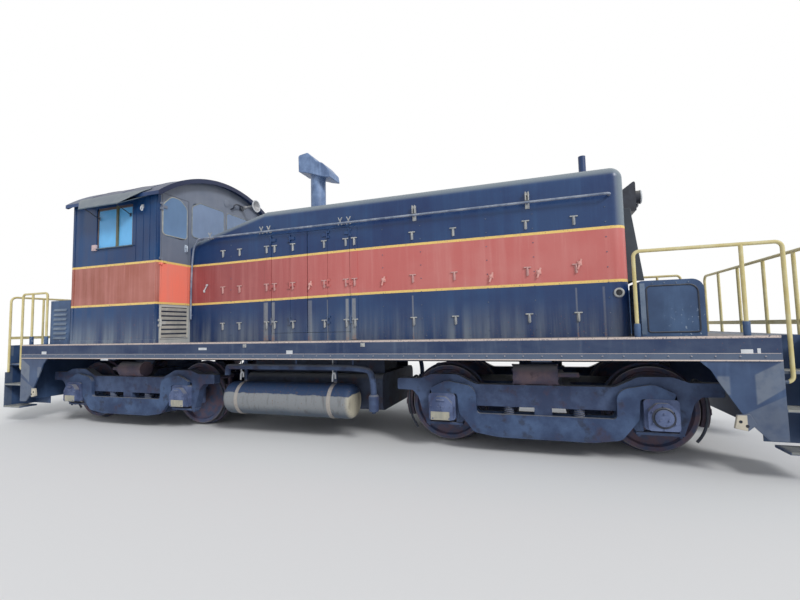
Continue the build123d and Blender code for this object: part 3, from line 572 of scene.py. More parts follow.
@dataclass(frozen=True)
class WheelSteel:
    """Rolled steel with a bright rim ring and oil flung out from the hub."""

    name: str
    centre_x: float
    centre_z: float
    tread_r: float
    colour: Colour = rgb(70, 82, 112)
    bright: Colour = rgb(120, 118, 122)
    rust: Colour = rgb(102, 84, 98)

    def material(self) -> Material:
        """Builds the finish about the axle's line.

        Returns:
            Its material.
        """
        steel = Recipe(self.name)
        x, _, z = steel.axes((self.centre_x, 0, self.centre_z))
        radius = (x * x + z * z) ** 0.5
        blotch = steel.noise(9.0, 5.0)
        grain = steel.noise(70.0, 5.0, (1, 1, 1), 3.0)
        colour = steel.mix(blotch.rise(0.35, 0.65), self.colour, self.rust)
        ring = radius.band(self.tread_r - 0.006, 0.012, 0.004)
        colour = steel.mix(ring * grain.rise(0.3, 0.55), colour, self.bright)
        colour = steel.mix(radius.rise(0.2, 0.1) * 0.6, colour, rgb(34, 32, 36))
        return steel.finish(steel.surface(
            Base_Color=colour, Roughness=0.6 + grain * 0.2 - ring * 0.3, Metallic=ring * 0.7,
            Normal=steel.bump(grain, 0.0012, 0.6)))


@dataclass(frozen=True)
class SillPaint:
    """Underframe paint: a dark upper band, a paler doubler strip along its foot and scraped edges."""

    name: str
    dark: Colour = rgb(24, 46, 84)
    pale: Colour = rgb(90, 104, 126)
    edge: Colour = rgb(226, 208, 196)
    strip_z: Point = (1.160, 1.242)
    top_z: float = DECK_Z

    def material(self) -> Material:
        """Builds the paint.

        Returns:
            Its material.
        """
        paint = Recipe(self.name)
        _, y, z = paint.axes()
        _, _, up = paint.facing()
        streak = paint.noise(12.0, 5.0, (1.0, 1.0, 0.12), 2.0)
        cloud = paint.noise(1.6, 5.0, (1, 1, 2), 6.0)
        grain = paint.noise(60.0, 5.0, (1, 1, 1), 1.0)
        colour = paint.mix(cloud.rise(0.35, 0.68) * 0.35 + streak.rise(0.5, 0.8) * 0.35, self.dark, self.pale)
        outside = abs(y).rise(1.50, 1.515)
        strip = z.rise(self.strip_z[1] + 0.004, self.strip_z[1] - 0.004) * outside
        colour = paint.mix(strip * (0.55 + streak * 0.4), colour, self.pale)
        foot = z.band(self.strip_z[0] + 0.006, 0.007, 0.003) * outside
        nosing = z.rise(self.top_z - 0.016, self.top_z - 0.004) * outside
        colour = paint.mix((foot + nosing) * grain.rise(0.25, 0.5) * 0.8, colour, self.edge)
        colour = paint.mix(grain.rise(0.66, 0.74) * 0.8, colour, rgb(118, 76, 58))
        deck = paint.mix(abs(y).rise(1.30, 1.44), rgb(134, 126, 122), self.edge)
        colour = paint.mix(up.rise(0.3, 0.9) * (0.55 + cloud * 0.45), colour, deck)
        return paint.finish(paint.surface(
            Base_Color=colour, Roughness=0.5 + streak * 0.25,
            Normal=paint.bump(cloud * 2 + grain * 0.3, 0.004, 0.5)))


@dataclass(frozen=True)
class ReservoirPaint:
    """Air tank with its blue upper half in painted shadow of the sill, a paler belly that is painted sunlight
    darkening to painted shade underneath, and dried runs.
    """

    name: str
    centre_z: float
    # upper is the tank's blue in painted shadow of the sill; belly is painted sunlight on it; dome is the paler
    # end within that sunlit part.
    upper: Colour = rgb(40, 62, 96)
    belly: Colour = rgb(134, 138, 142)
    dome: Colour = rgb(178, 172, 154)

    def material(self) -> Material:
        """Builds the paint about the tank's height.

        Returns:
            Its material.
        """
        paint = Recipe(self.name)
        x, _, z = paint.axes()
        cloud = paint.noise(3.0, 6.0, (1, 1, 1), 2.0, 0.62)
        run = paint.noise(14.0, 4.0, (1, 1, 0.15), 5.0)
        grain = paint.noise(60.0, 5.0)
        # The jittered height draws the jagged edge of the painted sill shadow; below it the painted sunlit
        # belly darkens to painted shade underneath.
        height = z - self.centre_z + (cloud - 0.5) * 0.12
        tank = height.rise(0.112, 0.098)
        colour = paint.mix(tank, self.upper, paint.mix(height.rise(-0.06, -0.2), self.belly, rgb(74, 88, 104)))
        # Paler still on the dome end, within the painted sunlit part.
        colour = paint.mix(tank * x.rise(0.76, 0.84), colour, self.dome)
        strap = (x.band(-1.03, 0.031, 0.003) + x.band(0.53, 0.031, 0.003)) * height.rise(0.30, 0.20)
        colour = paint.mix(strap * (0.55 + cloud * 0.4), colour, rgb(176, 168, 160))
        colour = paint.mix(run.rise(0.52, 0.72) * 0.45, colour, rgb(74, 72, 76))
        colour = paint.mix(grain.rise(0.6, 0.7) * 0.7, colour, rgb(118, 84, 66))
        return paint.finish(paint.surface(
            Base_Color=colour, Roughness=0.5 + cloud * 0.25,
            Normal=paint.bump(cloud + grain * 0.15, 0.004, 0.5)))


@dataclass(frozen=True)
class PaneGlass:
    """Window glass with a film of dust that thickens at the foot of the pane; on the side panes the film is a
    painted sky reflection.
    """

    name: str
    tint: Colour = rgb(150, 196, 240)
    dust: Colour = rgb(132, 152, 184)
    # The side panes' film, a painted sky reflection, and how much of the pane it covers.
    side_sky_reflection: Colour = rgb(118, 200, 255)
    haze: float = 0.55                    # share of the pane that its film hides
    side_sky_share: float = 0.72
    foot_z: float = 3.1

    def material(self) -> Material:
        """Builds the glass.

        Returns:
            Its material.
        """
        glass = Recipe(self.name)
        _, y, z = glass.axes()
        side = abs(y).rise(1.40, 1.42)
        film = glass.noise(5.0, 5.0, (1, 1, 0.6), 3.0)
        pane = glass.surface(Base_Color=self.tint, Roughness=0.04, Transmission_Weight=0.96, IOR=1.2,
                             Metallic=0.0)
        # The film: dust on the end panes, a painted sky reflection on the side panes.
        dust = glass.surface(Base_Color=glass.mix(side, self.dust, self.side_sky_reflection), Roughness=0.35)
        share = (side * (self.side_sky_share - self.haze) + self.haze + (film - 0.5) * 0.3
                 + z.rise(self.foot_z + 0.35, self.foot_z) * 0.15)
        return glass.finish(glass.node("ShaderNodeMixShader", {}, {0: share, 1: pane, 2: dust}))


@dataclass(frozen=True)
class StudioFloor:
    """Pale floor that keeps the shadow and fades into the backdrop."""

    name: str = "studio_floor"
    colour: Colour = (0.80, 0.80, 0.80)

    def material(self) -> Material:
        """Builds the floor; only the camera and mirrors see its far, lit part.

        Returns:
            Its material.
        """
        floor = Recipe(self.name)
        x, y, _ = floor.axes()
        reach = (x * x * 0.35 + y * y) ** 0.5
        path = [floor.node("ShaderNodeLightPath", {}, {}, name) for name in ("Is Camera Ray", "Is Glossy Ray")]
        seen = (path[0] + path[1]).rise(0.0, 1.0)
        matt = floor.surface(Base_Color=self.colour, Roughness=0.9)
        lit = floor.node("ShaderNodeEmission", {}, {"Color": (1, 1, 1), "Strength": 1.0})
        return floor.finish(floor.node("ShaderNodeMixShader", {},
                                       {0: reach.rise(3.5, 16.0) * seen, 1: matt, 2: lit}))


class Bench:
    """Models pieces as by hand: a primitive at its size and place, shaped and finished."""

    def clear(self) -> None:
        """Leaves edit mode and deselects everything."""
        if bpy.context.object and bpy.context.object.mode != "OBJECT":
            bpy.ops.object.mode_set(mode="OBJECT")
        bpy.ops.object.select_all(action="DESELECT")

    def _settle(self, name: str) -> Piece:
        """Names the new primitive and moves its place into its mesh."""
        piece = bpy.context.active_object
        piece.name = name
        piece.data.name = name
        bpy.ops.object.transform_apply(location=True, rotation=True, scale=True)
        return piece

    def use(self, piece: Piece) -> None:
        """Selects one piece alone."""
        self.clear()
        piece.select_set(True)
        bpy.context.view_layer.objects.active = piece

    def apply(self, piece: Piece, kind: str, **settings: Any) -> Piece:
        """Adds a modifier and applies it.

        Args:
            piece: The piece that it shapes.
            kind: The modifier's type.
            **settings: Its properties.

        Returns:
            The piece.
        """
        self.use(piece)
        modifier = piece.modifiers.new(kind.title(), kind)
        for key, value in settings.items():
            setattr(modifier, key, value)
        bpy.ops.object.modifier_apply(modifier=modifier.name)
        return piece

    def bevel(self, piece: Piece, width: float, segments: int = 2) -> Piece:
        """Rounds the sharp edges."""
        return self.apply(piece, "BEVEL", width=width, segments=segments, limit_method="ANGLE", angle_limit=0.6)

    def edit(self, piece: Piece, pick: Callable[[bpy.types.MeshPolygon], bool]) -> None:
        """Enters edit mode with some faces selected.

        Args:
            piece: The piece.
            pick: Says of a face whether it is selected.
        """
        self.use(piece)
        bpy.ops.object.mode_set(mode="EDIT")
        bpy.ops.mesh.select_mode(type="FACE")
        bpy.ops.mesh.select_all(action="DESELECT")
        bpy.ops.object.mode_set(mode="OBJECT")
        for polygon in piece.data.polygons:
            polygon.select = pick(polygon)
        bpy.ops.object.mode_set(mode="EDIT")

    def done(self, smooth: float = 0.6) -> Piece:
        """Leaves edit mode with clean normals.

        Args:
            smooth: Angle up to which faces are shaded as one surface.

        Returns:
            The piece.
        """
        bpy.ops.mesh.select_all(action="SELECT")
        bpy.ops.mesh.remove_doubles(threshold=0.00002)
        bpy.ops.mesh.normals_make_consistent(inside=False)
        bpy.ops.object.mode_set(mode="OBJECT")
        bpy.ops.object.shade_smooth_by_angle(angle=smooth)
        return bpy.context.active_object

    def block(self, name: str, low: Place, high: Place, bevel: float = 0.0,
              turn: Place = (0, 0, 0)) -> Piece:
        """Box between two corners, turned about its centre and with rounded edges.

        Args:
            name: The piece's name.
            low: Lowest corner.
            high: Highest corner.
            bevel: Width of the rounded edges.
            turn: Turn about its centre, in radians.

        Returns:
            The piece.
        """
        self.clear()
        centre = [(a + b) / 2 for a, b in zip(low, high)]
        size = [b - a for a, b in zip(low, high)]
        bpy.ops.mesh.primitive_cube_add(size=1, location=centre, rotation=turn, scale=size)
        piece = self._settle(name)
        return self.bevel(piece, bevel) if bevel else piece

    def rod(self, name: str, start: Place, end: Place, radius: float,
            sides: int = 20, bevel: float = 0.0) -> Piece:
        """Round or many-sided bar between two points.

        Args:
            name: The piece's name.
            start: Centre of its near end.
            end: Centre of its far end.
            radius: Its radius.
            sides: Sides of its section.
            bevel: Width of the rounded edges.

        Returns:
            The piece.
        """
        self.clear()
        run = Vector(end) - Vector(start)
        bpy.ops.mesh.primitive_cylinder_add(
            vertices=sides, radius=radius, depth=run.length, location=(Vector(start) + Vector(end)) / 2,
            rotation=run.to_track_quat("Z", "Y").to_euler())
        piece = self._settle(name)
        if bevel:
            self.bevel(piece, bevel)
        self.use(piece)
        bpy.ops.object.shade_smooth_by_angle(angle=0.7)
        return piece

    def lathe(self, name: str, profile: Sequence[Point], centre: Place,
              axis: Axis, sides: int = 32) -> Piece:
        """Turned piece from a closed outline of (radius, distance along the axis).

        Args:
            name: The piece's name.
            profile: Outline, which may touch the axis.
            centre: Where distance 0 lies on the axis.
            axis: The axis that the piece turns about.
            sides: Steps round the axis.

        Returns:
            The piece.
        """
        self.clear()
        bpy.ops.mesh.primitive_circle_add(vertices=len(profile), radius=1)
        piece = bpy.context.active_object
        piece.name = name
        for vertex, (radius, along) in zip(piece.data.vertices, profile):
            vertex.co = (radius, 0, along)
        self.apply(piece, "SCREW", steps=sides, render_steps=sides, use_merge_vertices=True,
                   merge_threshold=0.00002)
        turn = axis.value.to_track_quat("Z", "Y").to_matrix().to_4x4()
        piece.data.transform(Matrix.Translation(Vector(centre)) @ turn)
        self.edit(piece, lambda face: True)
        return self.done()

    def plate(self, name: str, outline: Sequence[Point], axis: Axis, low: float, high: float,
              bevel: float = 0.0) -> Piece:
        """Plate with that outline, thick from low to high along an axis.

        Args:
            name: The piece's name.
            outline: Corners in the two other axes, in alphabetical order.
            axis: Direction of the thickness.
            low: Near face.
            high: Far face.
            bevel: Width of the rounded edges.

        Returns:
            The piece.
        """
        self.clear()
        bpy.ops.mesh.primitive_circle_add(vertices=len(outline), radius=1, fill_type="NGON")
        piece = bpy.context.active_object
        piece.name = name
        for vertex, (u, v) in zip(piece.data.vertices, outline):
            vertex.co = {Axis.X: (low, u, v), Axis.Y: (u, low, v), Axis.Z: (u, v, low)}[axis]
        self.edit(piece, lambda face: True)
        shift = axis.value * (high - low)
        bpy.ops.mesh.extrude_region_move(TRANSFORM_OT_translate={"value": tuple(shift)})
        self.done(0.5)
        return self.bevel(piece, bevel) if bevel else piece

    def pipe(self, name: str, points: Sequence[Place], radius: float, smooth: bool = True,
             closed: bool = False) -> Piece:
        """Bent pipe through given points, with capped ends or closed into a loop.

        Args:
            name: The piece's name.
            points: Points that steer the pipe.
            radius: Its radius.
            smooth: Whether it bends smoothly.
            closed: Whether it runs back to its first point.

        Returns:
            The piece.
        """
        self.clear()
        bpy.ops.curve.primitive_nurbs_path_add()
        path = bpy.context.active_object
        curve = path.data
        curve.splines.clear()
        spline = curve.splines.new("NURBS" if smooth else "POLY")
        spline.points.add(len(points) - 1)
        for point, spot in zip(spline.points, points):
            point.co = (*spot, 1)
        if smooth:
            spline.order_u = 3
            spline.use_endpoint_u = True
        spline.use_cyclic_u = closed
        curve.bevel_depth = radius
        curve.bevel_resolution = 3
        curve.resolution_u = 6
        curve.use_fill_caps = True
        self.use(path)
        bpy.ops.object.convert(target="MESH")
        piece = bpy.context.active_object
        piece.name = name
        self.edit(piece, lambda face: True)
        return self.done()

    def loop(self, name: str, points: Sequence[Place], radius: float) -> Piece:
        """Round bead that runs through the points and back to the first."""
        return self.pipe(name, points, radius, smooth=False, closed=True)

    def join(self, name: str, pieces: Pieces) -> Piece:
        """Joins pieces into one mesh.

        Args:
            name: The joined piece's name.
            pieces: What it is joined from.

        Returns:
            The joined piece.
        """
        self.clear()
        parts = list(pieces)
        for part in parts:
            part.select_set(True)
        bpy.context.view_layer.objects.active = parts[0]
        if len(parts) > 1:
            bpy.ops.object.join()
        joined = bpy.context.active_object
        joined.name = name
        joined.data.name = name
        return joined

    def repeat(self, name: str, master: Piece, places: Iterable[Matrix]) -> Piece:
        """Copies a piece, each copy with its own mesh, and joins the copies.

        Args:
            name: The joined piece's name.
            master: The piece that is copied and then removed.
            places: Where each copy goes.

        Returns:
            The joined piece.
        """
        copies = []
        for place in places:
            copy = bpy.data.objects.new(master.name, master.data.copy())
            copy.data.transform(place)
            if place.determinant() < 0:
                copy.data.flip_normals()
            bpy.context.scene.collection.objects.link(copy)
            copies.append(copy)
        bpy.data.objects.remove(master)
        return self.join(name, copies)

    def on_both_sides(self, name: str, piece: Piece) -> Piece:
        """The piece and its mirror image across the centre line, joined."""
        return self.repeat(name, piece, (Matrix.Identity(4), MIRROR))


def spot(x: float, y: float, z: float, side: int) -> Matrix:
    """Place of a copy, mirrored when side is the left side (1)."""
    return Matrix.Translation((x, y, z)) @ (MIRROR if side > 0 else Matrix.Identity(4))


def side_places(y: float, points: Iterable[Point]) -> list[Matrix]:
    """Places on both sides.

    Args:
        y: Distance from the centre line.
        points: Rows of (x, z).

    Returns:
        The places of the right side and the mirrored ones of the left side.
    """
    rows = list(points)
    return [spot(x, side * y, z, side) for _, side in BOTH_SIDES for x, z in rows]


def grid(columns: Sequence[float], rows: Sequence[float]) -> list[Point]:
    """Every pair of a column and a row."""
    return [(column, row) for column in columns for row in rows]


def spaced(start: float, pitch: float, count: int) -> list[float]:
    """Evenly spaced values."""
    return [start + pitch * step for step in range(count)]


def ring_of(radius: float, count: int, start: float) -> list[Point]:
    """Evenly spaced points on a circle, the first at the start angle."""
    return [(radius * math.cos(angle), radius * math.sin(angle))
            for angle in spaced(start, math.tau / count, count)]


@dataclass
class Assembly(Bench):
    """Sub-assembly: models its pieces, dresses its nodes and fits pieces to their bodies."""

    nodes: Mapping[str, Piece]
    _shelf: ClassVar[dict[Any, Material]] = {}      # finishes built so far

    def material(self, finish: Any) -> Material:
        """Material of a finish, built once."""
        if finish not in self._shelf:
            self._shelf[finish] = finish.material()
        return self._shelf[finish]

    def dress(self, finish: Any, *names: str) -> None:
        """Puts a finish on CAD nodes.

        Args:
            finish: The finish.
            *names: The nodes' names.
        """
        for name in names:
            mesh = self.nodes[name].data
            mesh.materials.clear()
            mesh.materials.append(self.material(finish))
            LOG.info("dressed %s with %s", name, finish.name)

    def fit(self, piece: Piece, body: str, finish: Any, slot: str) -> Piece:
        """Dresses a new piece and rides it on its body.

        Args:
            piece: The piece.
            body: The body that carries it.
            finish: Its finish.
            slot: Its material slot; not used.

        Returns:
            The piece.
        """
        piece.data.materials.clear()
        piece.data.materials.append(self.material(finish))
        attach(piece, body)
        LOG.info("fitted %s on %s", piece.name, body)
        return piece

    def fit_copies(self, name: str, master: Piece, places: Iterable[Matrix], finish: Any, slot: str,
                   body: str = "body") -> Piece:
        """Fits copies of a piece as one piece.

        Args:
            name: The joined piece's name.
            master: The piece that is copied.
            places: Where each copy goes.
            finish: Its finish.
            slot: Its material slot.
            body: The body that carries it.

        Returns:
            The joined piece.
        """
        return self.fit(self.repeat(name, master, places), body, finish, slot)

    def fit_pair(self, name: str, parts: Pieces, finish: Any, slot: str) -> Piece:
        """Fits parts drawn on the right side and their mirror image to the body as one piece."""
        return self.fit(self.on_both_sides(name, self.join(f"{name}_side", parts)), "body", finish, slot)

    def fit_corners(self, name: str, parts: Pieces, finish: Any, slot: str) -> Piece:
        """Fits parts drawn at the right front corner to the body, at all four corners as one piece."""
        pair = self.on_both_sides(f"{name}_pair", self.join(f"{name}_side", parts))
        return self.fit_copies(name, pair, BOTH_ENDS, finish, slot)


NAVY = rgb(8, 42, 92)
NAVY_FADED = rgb(40, 74, 118)
HOOD_PAINT = LiveryPaint("hood_livery", NAVY, NAVY_FADED, rgb(150, 74, 76), rgb(196, 104, 100), (-2.3, 1.2),
                         corner_x=4.15, rubbed=(
                             (-0.825, 0.042, 0.9), (-0.686, 0.028, 0.9), (-0.015, 0.036, 0.5),
                             (0.292, 0.008, 0.7),
                             (0.624, 0.024, 0.9), (0.739, 0.030, 0.9), (1.658, 0.010, 0.7), (3.816, 0.009, 0.6),
                             (4.131, 0.012, 0.4)))
NOSE_PAINT = LiveryPaint("nose_livery", NAVY, NAVY_FADED, rgb(196, 104, 100), rgb(196, 104, 100),
                         (-2.3, 1.2), corner_x=4.15, grille=(0.6, 1.588, 2.988, 4.36))
SHROUD_PAINT = WornPaint("shroud_paint", rgb(34, 42, 54), rgb(62, 72, 82), chips=0.15, scale=2.0)
LOUVRE_PALE = WornPaint("louvre_pale", rgb(178, 176, 168), rgb(214, 210, 198), chips=0.15, scale=5.0)
FRONT_GLASS = PaneGlass("front_glazing", tint=rgb(120, 150, 190), dust=rgb(132, 152, 184), haze=0.82)
GRAB_GREY = WornPaint("grab_rail_grey", rgb(98, 112, 138), rgb(178, 186, 198), chips=0.2, scale=6.0)
HOOK_PINK = WornPaint("hook_block_pink", rgb(196, 170, 172), rgb(222, 200, 200), chips=0.2, scale=9.0)
CAB_PAINT = LiveryPaint("cab_side_livery", rgb(0, 42, 90), rgb(12, 66, 116), rgb(150, 80, 64),
                        rgb(166, 92, 76), (-4.3, -2.4), streaks=0.6)
# The cab's livery brightened as painted sunlight, for the front wall and door that face the sun.
SUNLIT_CAB_FRONT_PAINT = LiveryPaint("cab_front_sunlit_livery", rgb(101, 110, 128), rgb(128, 134, 148),
                              rgb(255, 128, 106), rgb(255, 140, 118), (-2.5, -2.3), streaks=0.35,
                              panel=rgb(196, 196, 190))
ROOF_PAINT = RoofPaint("roof_paint", rgb(14, 40, 84), rgb(48, 80, 128), chips=0.2, dusty=0.35, scale=1.5)
SILL_PAINT = SillPaint("sill_paint")
END_PAINT = EndPaint("end_plate_paint", rgb(38, 60, 96), rgb(74, 98, 134), chips=0.25, dusty=0.4, scale=2.2)
TRUCK_IRON = CastIron("truck_casting", rgb(44, 58, 90), rgb(74, 92, 126), rusty=0.15)
EQUALIZER_IRON = CastIron("equalizer_forging", rgb(42, 60, 94), rgb(70, 92, 128), rusty=0.1)
BOX_IRON = CastIron("journal_box_casting", rgb(58, 72, 108), rgb(100, 114, 150), rusty=0.25)
BRAKE_IRON = CastIron("brake_rigging", rgb(64, 62, 84), rgb(106, 88, 94), rusty=0.8)
RAIL_YELLOW = RailPaint("handrail_yellow", rgb(202, 186, 126), rgb(222, 214, 172), chips=0.32, scale=7.0,
                        dusty=0.15, chip=rgb(120, 96, 66))
COUPLER_IRON = CastIron("coupler_casting", rgb(84, 62, 54), rgb(120, 92, 78), rusty=0.7, dark_foot_z=0.1)
ENGINE_GREY = WornPaint("engine_enamel", rgb(110, 116, 112), rgb(140, 144, 138), chips=0.2)
STACK_STEEL = WornPaint("stack_steel", rgb(86, 108, 146), rgb(146, 172, 212), chip=rgb(176, 112, 74),
                        chips=0.4, scale=5.0, dusty=0.1)
LAMP_BLACK = WornPaint("lamp_black", rgb(30, 34, 46), rgb(64, 70, 84), chips=0.15, dusty=0.5)
HORN_METAL = WornPaint("horn_metal", rgb(150, 150, 152), rgb(206, 206, 208), chips=0.2, roughness=0.35)
BOX_PAINT = CasePaint("battery_box_paint", rgb(44, 70, 108), rgb(82, 112, 152), chips=0.15, scale=2.0)
TANK_PAINT = CastIron("fuel_tank_paint", rgb(40, 50, 72), rgb(64, 74, 96), rusty=0.3)
STAND_GREY = WornPaint("stand_enamel", rgb(120, 138, 128), rgb(146, 160, 148), chips=0.2)
FLOOR_GREY = WornPaint("cab_floor_paint", rgb(92, 88, 84), rgb(120, 114, 108), chips=0.5, roughness=0.7)
AWNING_PAINT = WornPaint("awning_paint", rgb(64, 86, 108), rgb(112, 128, 136), chips=0.25, scale=3.0)
GASKET = WornPaint("window_gasket", rgb(150, 152, 146), rgb(196, 194, 182), chips=0.1, scale=8.0)
FITTING_PALE = WornPaint("hinge_pale", rgb(150, 154, 158), rgb(206, 204, 196), chips=0.45, scale=9.0)
HINGE_PAINT = HingePaint("hood_hinge", rgb(150, 154, 158), rgb(206, 204, 196), chips=0.45, scale=9.0)
FITTING_DARK = WornPaint("fitting_dark", rgb(34, 40, 56), rgb(70, 78, 92), chips=0.3, scale=9.0)
LEVER_PINK = WornPaint("lever_pink", rgb(212, 140, 132), rgb(234, 190, 182), chips=0.2, scale=9.0)
FRAME_BROWN = WornPaint("sash_brown", rgb(84, 72, 76), rgb(124, 106, 100), chips=0.3, scale=8.0)
PLATE_PALE = WornPaint("blank_plate", rgb(196, 200, 206), rgb(228, 230, 232), chips=0.15, scale=10.0)
HOOD_BOLT = WornPaint("hood_bolt", rgb(60, 76, 104), rgb(112, 124, 142), chips=0.3, scale=9.0)
# Dark discs that stand in as painted shade inside a port and holes.
HOLE_SHADE = WornPaint("painted_hole_shade", rgb(16, 22, 34), rgb(34, 44, 62), chips=0.0, dusty=0.1, roughness=0.12)
# Lamp lens, pale with its silvered look and a painted highlight.
LENS_HIGHLIGHT = WornPaint("lamp_lens_highlight", rgb(206, 214, 222), rgb(236, 240, 244), chips=0.0, dusty=0.1,
                        roughness=0.10, relief=0.0003)
DOOR_GLASS = PaneGlass("door_glazing", tint=rgb(120, 150, 190), dust=rgb(108, 140, 178), haze=0.82)
HANDLE_BRIGHT = WornPaint("door_handle", rgb(168, 182, 200), rgb(214, 222, 230), chips=0.2, scale=9.0)
GASKET_DARK = WornPaint("window_bead", rgb(112, 118, 122), rgb(158, 162, 160), chips=0.1, scale=8.0)
MULLION_OLIVE = WornPaint("mullion_olive", rgb(84, 86, 66), rgb(116, 116, 92), chips=0.3, scale=8.0)
STEP_EDGE = WornPaint("step_edge", rgb(120, 124, 124), rgb(176, 176, 166), chips=0.4, scale=8.0)
BOX_TRIM = WornPaint("battery_box_trim", rgb(84, 104, 130), rgb(128, 144, 164), chips=0.25, scale=6.0)
BOX_PALE = WornPaint("journal_box_plate", rgb(150, 150, 140), rgb(196, 188, 166), chips=0.35, scale=9.0)


@dataclass
class Studio(Assembly):
    """Camera at the photograph's pose, soft light, pale floor and a white surround."""

    position: Vector = field(default_factory=lambda: Vector((3.306, -6.415, 1.566)))
    yaw: float = math.radians(18.25)
    pitch: float = math.radians(3.87)
    roll: float = math.radians(-1.29)
    lens: float = 18.33
    key_direction: Vector = field(default_factory=lambda: Vector((0.72, -0.52, 0.62)))
    key_strength: float = 1.7
    key_angle: float = math.radians(14)
    world_strength: float = 0.62
    sky: Colour = (0.94, 0.97, 1.0)

    def camera(self) -> None:
        """Creates the camera."""
        level = Vector((-math.sin(self.yaw), math.cos(self.yaw), 0))
        across = Vector((math.cos(self.yaw), math.sin(self.yaw), 0))
        ahead = level * math.cos(self.pitch) + Axis.Z.value * math.sin(self.pitch)
        over = Axis.Z.value * math.cos(self.pitch) - level * math.sin(self.pitch)
        right = across * math.cos(self.roll) + over * math.sin(self.roll)
        top = over * math.cos(self.roll) - across * math.sin(self.roll)
        data = bpy.data.cameras.new("photo_camera")
        data.lens = self.lens
        data.sensor_width = 36.0
        data.clip_end = 300.0
        camera = bpy.data.objects.new("photo_camera", data)
        bpy.context.scene.collection.objects.link(camera)
        turn = Matrix((right, top, -ahead)).transposed().to_4x4()
        camera.matrix_world = Matrix.Translation(self.position) @ turn
        bpy.context.scene.camera = camera

    def light(self) -> None:
        """Adds a soft key lamp and an even surround that the camera sees as white."""
        lamp = bpy.data.lights.new("key_lamp", "SUN")
        lamp.energy = self.key_strength
        lamp.angle = self.key_angle
        key = bpy.data.objects.new("key_lamp", lamp)
        key.rotation_euler = self.key_direction.to_track_quat("Z", "Y").to_euler()
        bpy.context.scene.collection.objects.link(key)
        world = bpy.data.worlds.new("studio_world")
        bpy.context.scene.world = world
        world.use_nodes = True
        sky = NodeTree(world.node_tree)
        camera, glossy, through = (sky.node("ShaderNodeLightPath", {}, {}, f"Is {ray} Ray")
                                   for ray in ("Camera", "Glossy", "Transmission"))
        soft = sky.node("ShaderNodeBackground", {}, {"Color": self.sky, "Strength": self.world_strength})
        white = sky.node("ShaderNodeBackground", {}, {"Color": (1, 1, 1), "Strength": 1.0})
        seen = camera.largest(glossy).largest(through)
        sky.end("ShaderNodeOutputWorld", sky.node("ShaderNodeMixShader", {}, {0: seen, 1: soft, 2: white}))

    def floor(self) -> None:
        """Lays the floor under the wheels."""
        self.clear()
        bpy.ops.mesh.primitive_plane_add(size=240, location=(0, 0, -0.0005))
        floor = bpy.context.active_object
        floor.name = "studio_floor"
        floor.data.materials.append(self.material(StudioFloor()))

    def build(self) -> None:
        """Sets up the whole studio."""
        self.floor()
        self.camera()
        self.light()
        view = bpy.context.scene.view_settings
        view.view_transform = "Standard"
        LOG.info("studio ready")


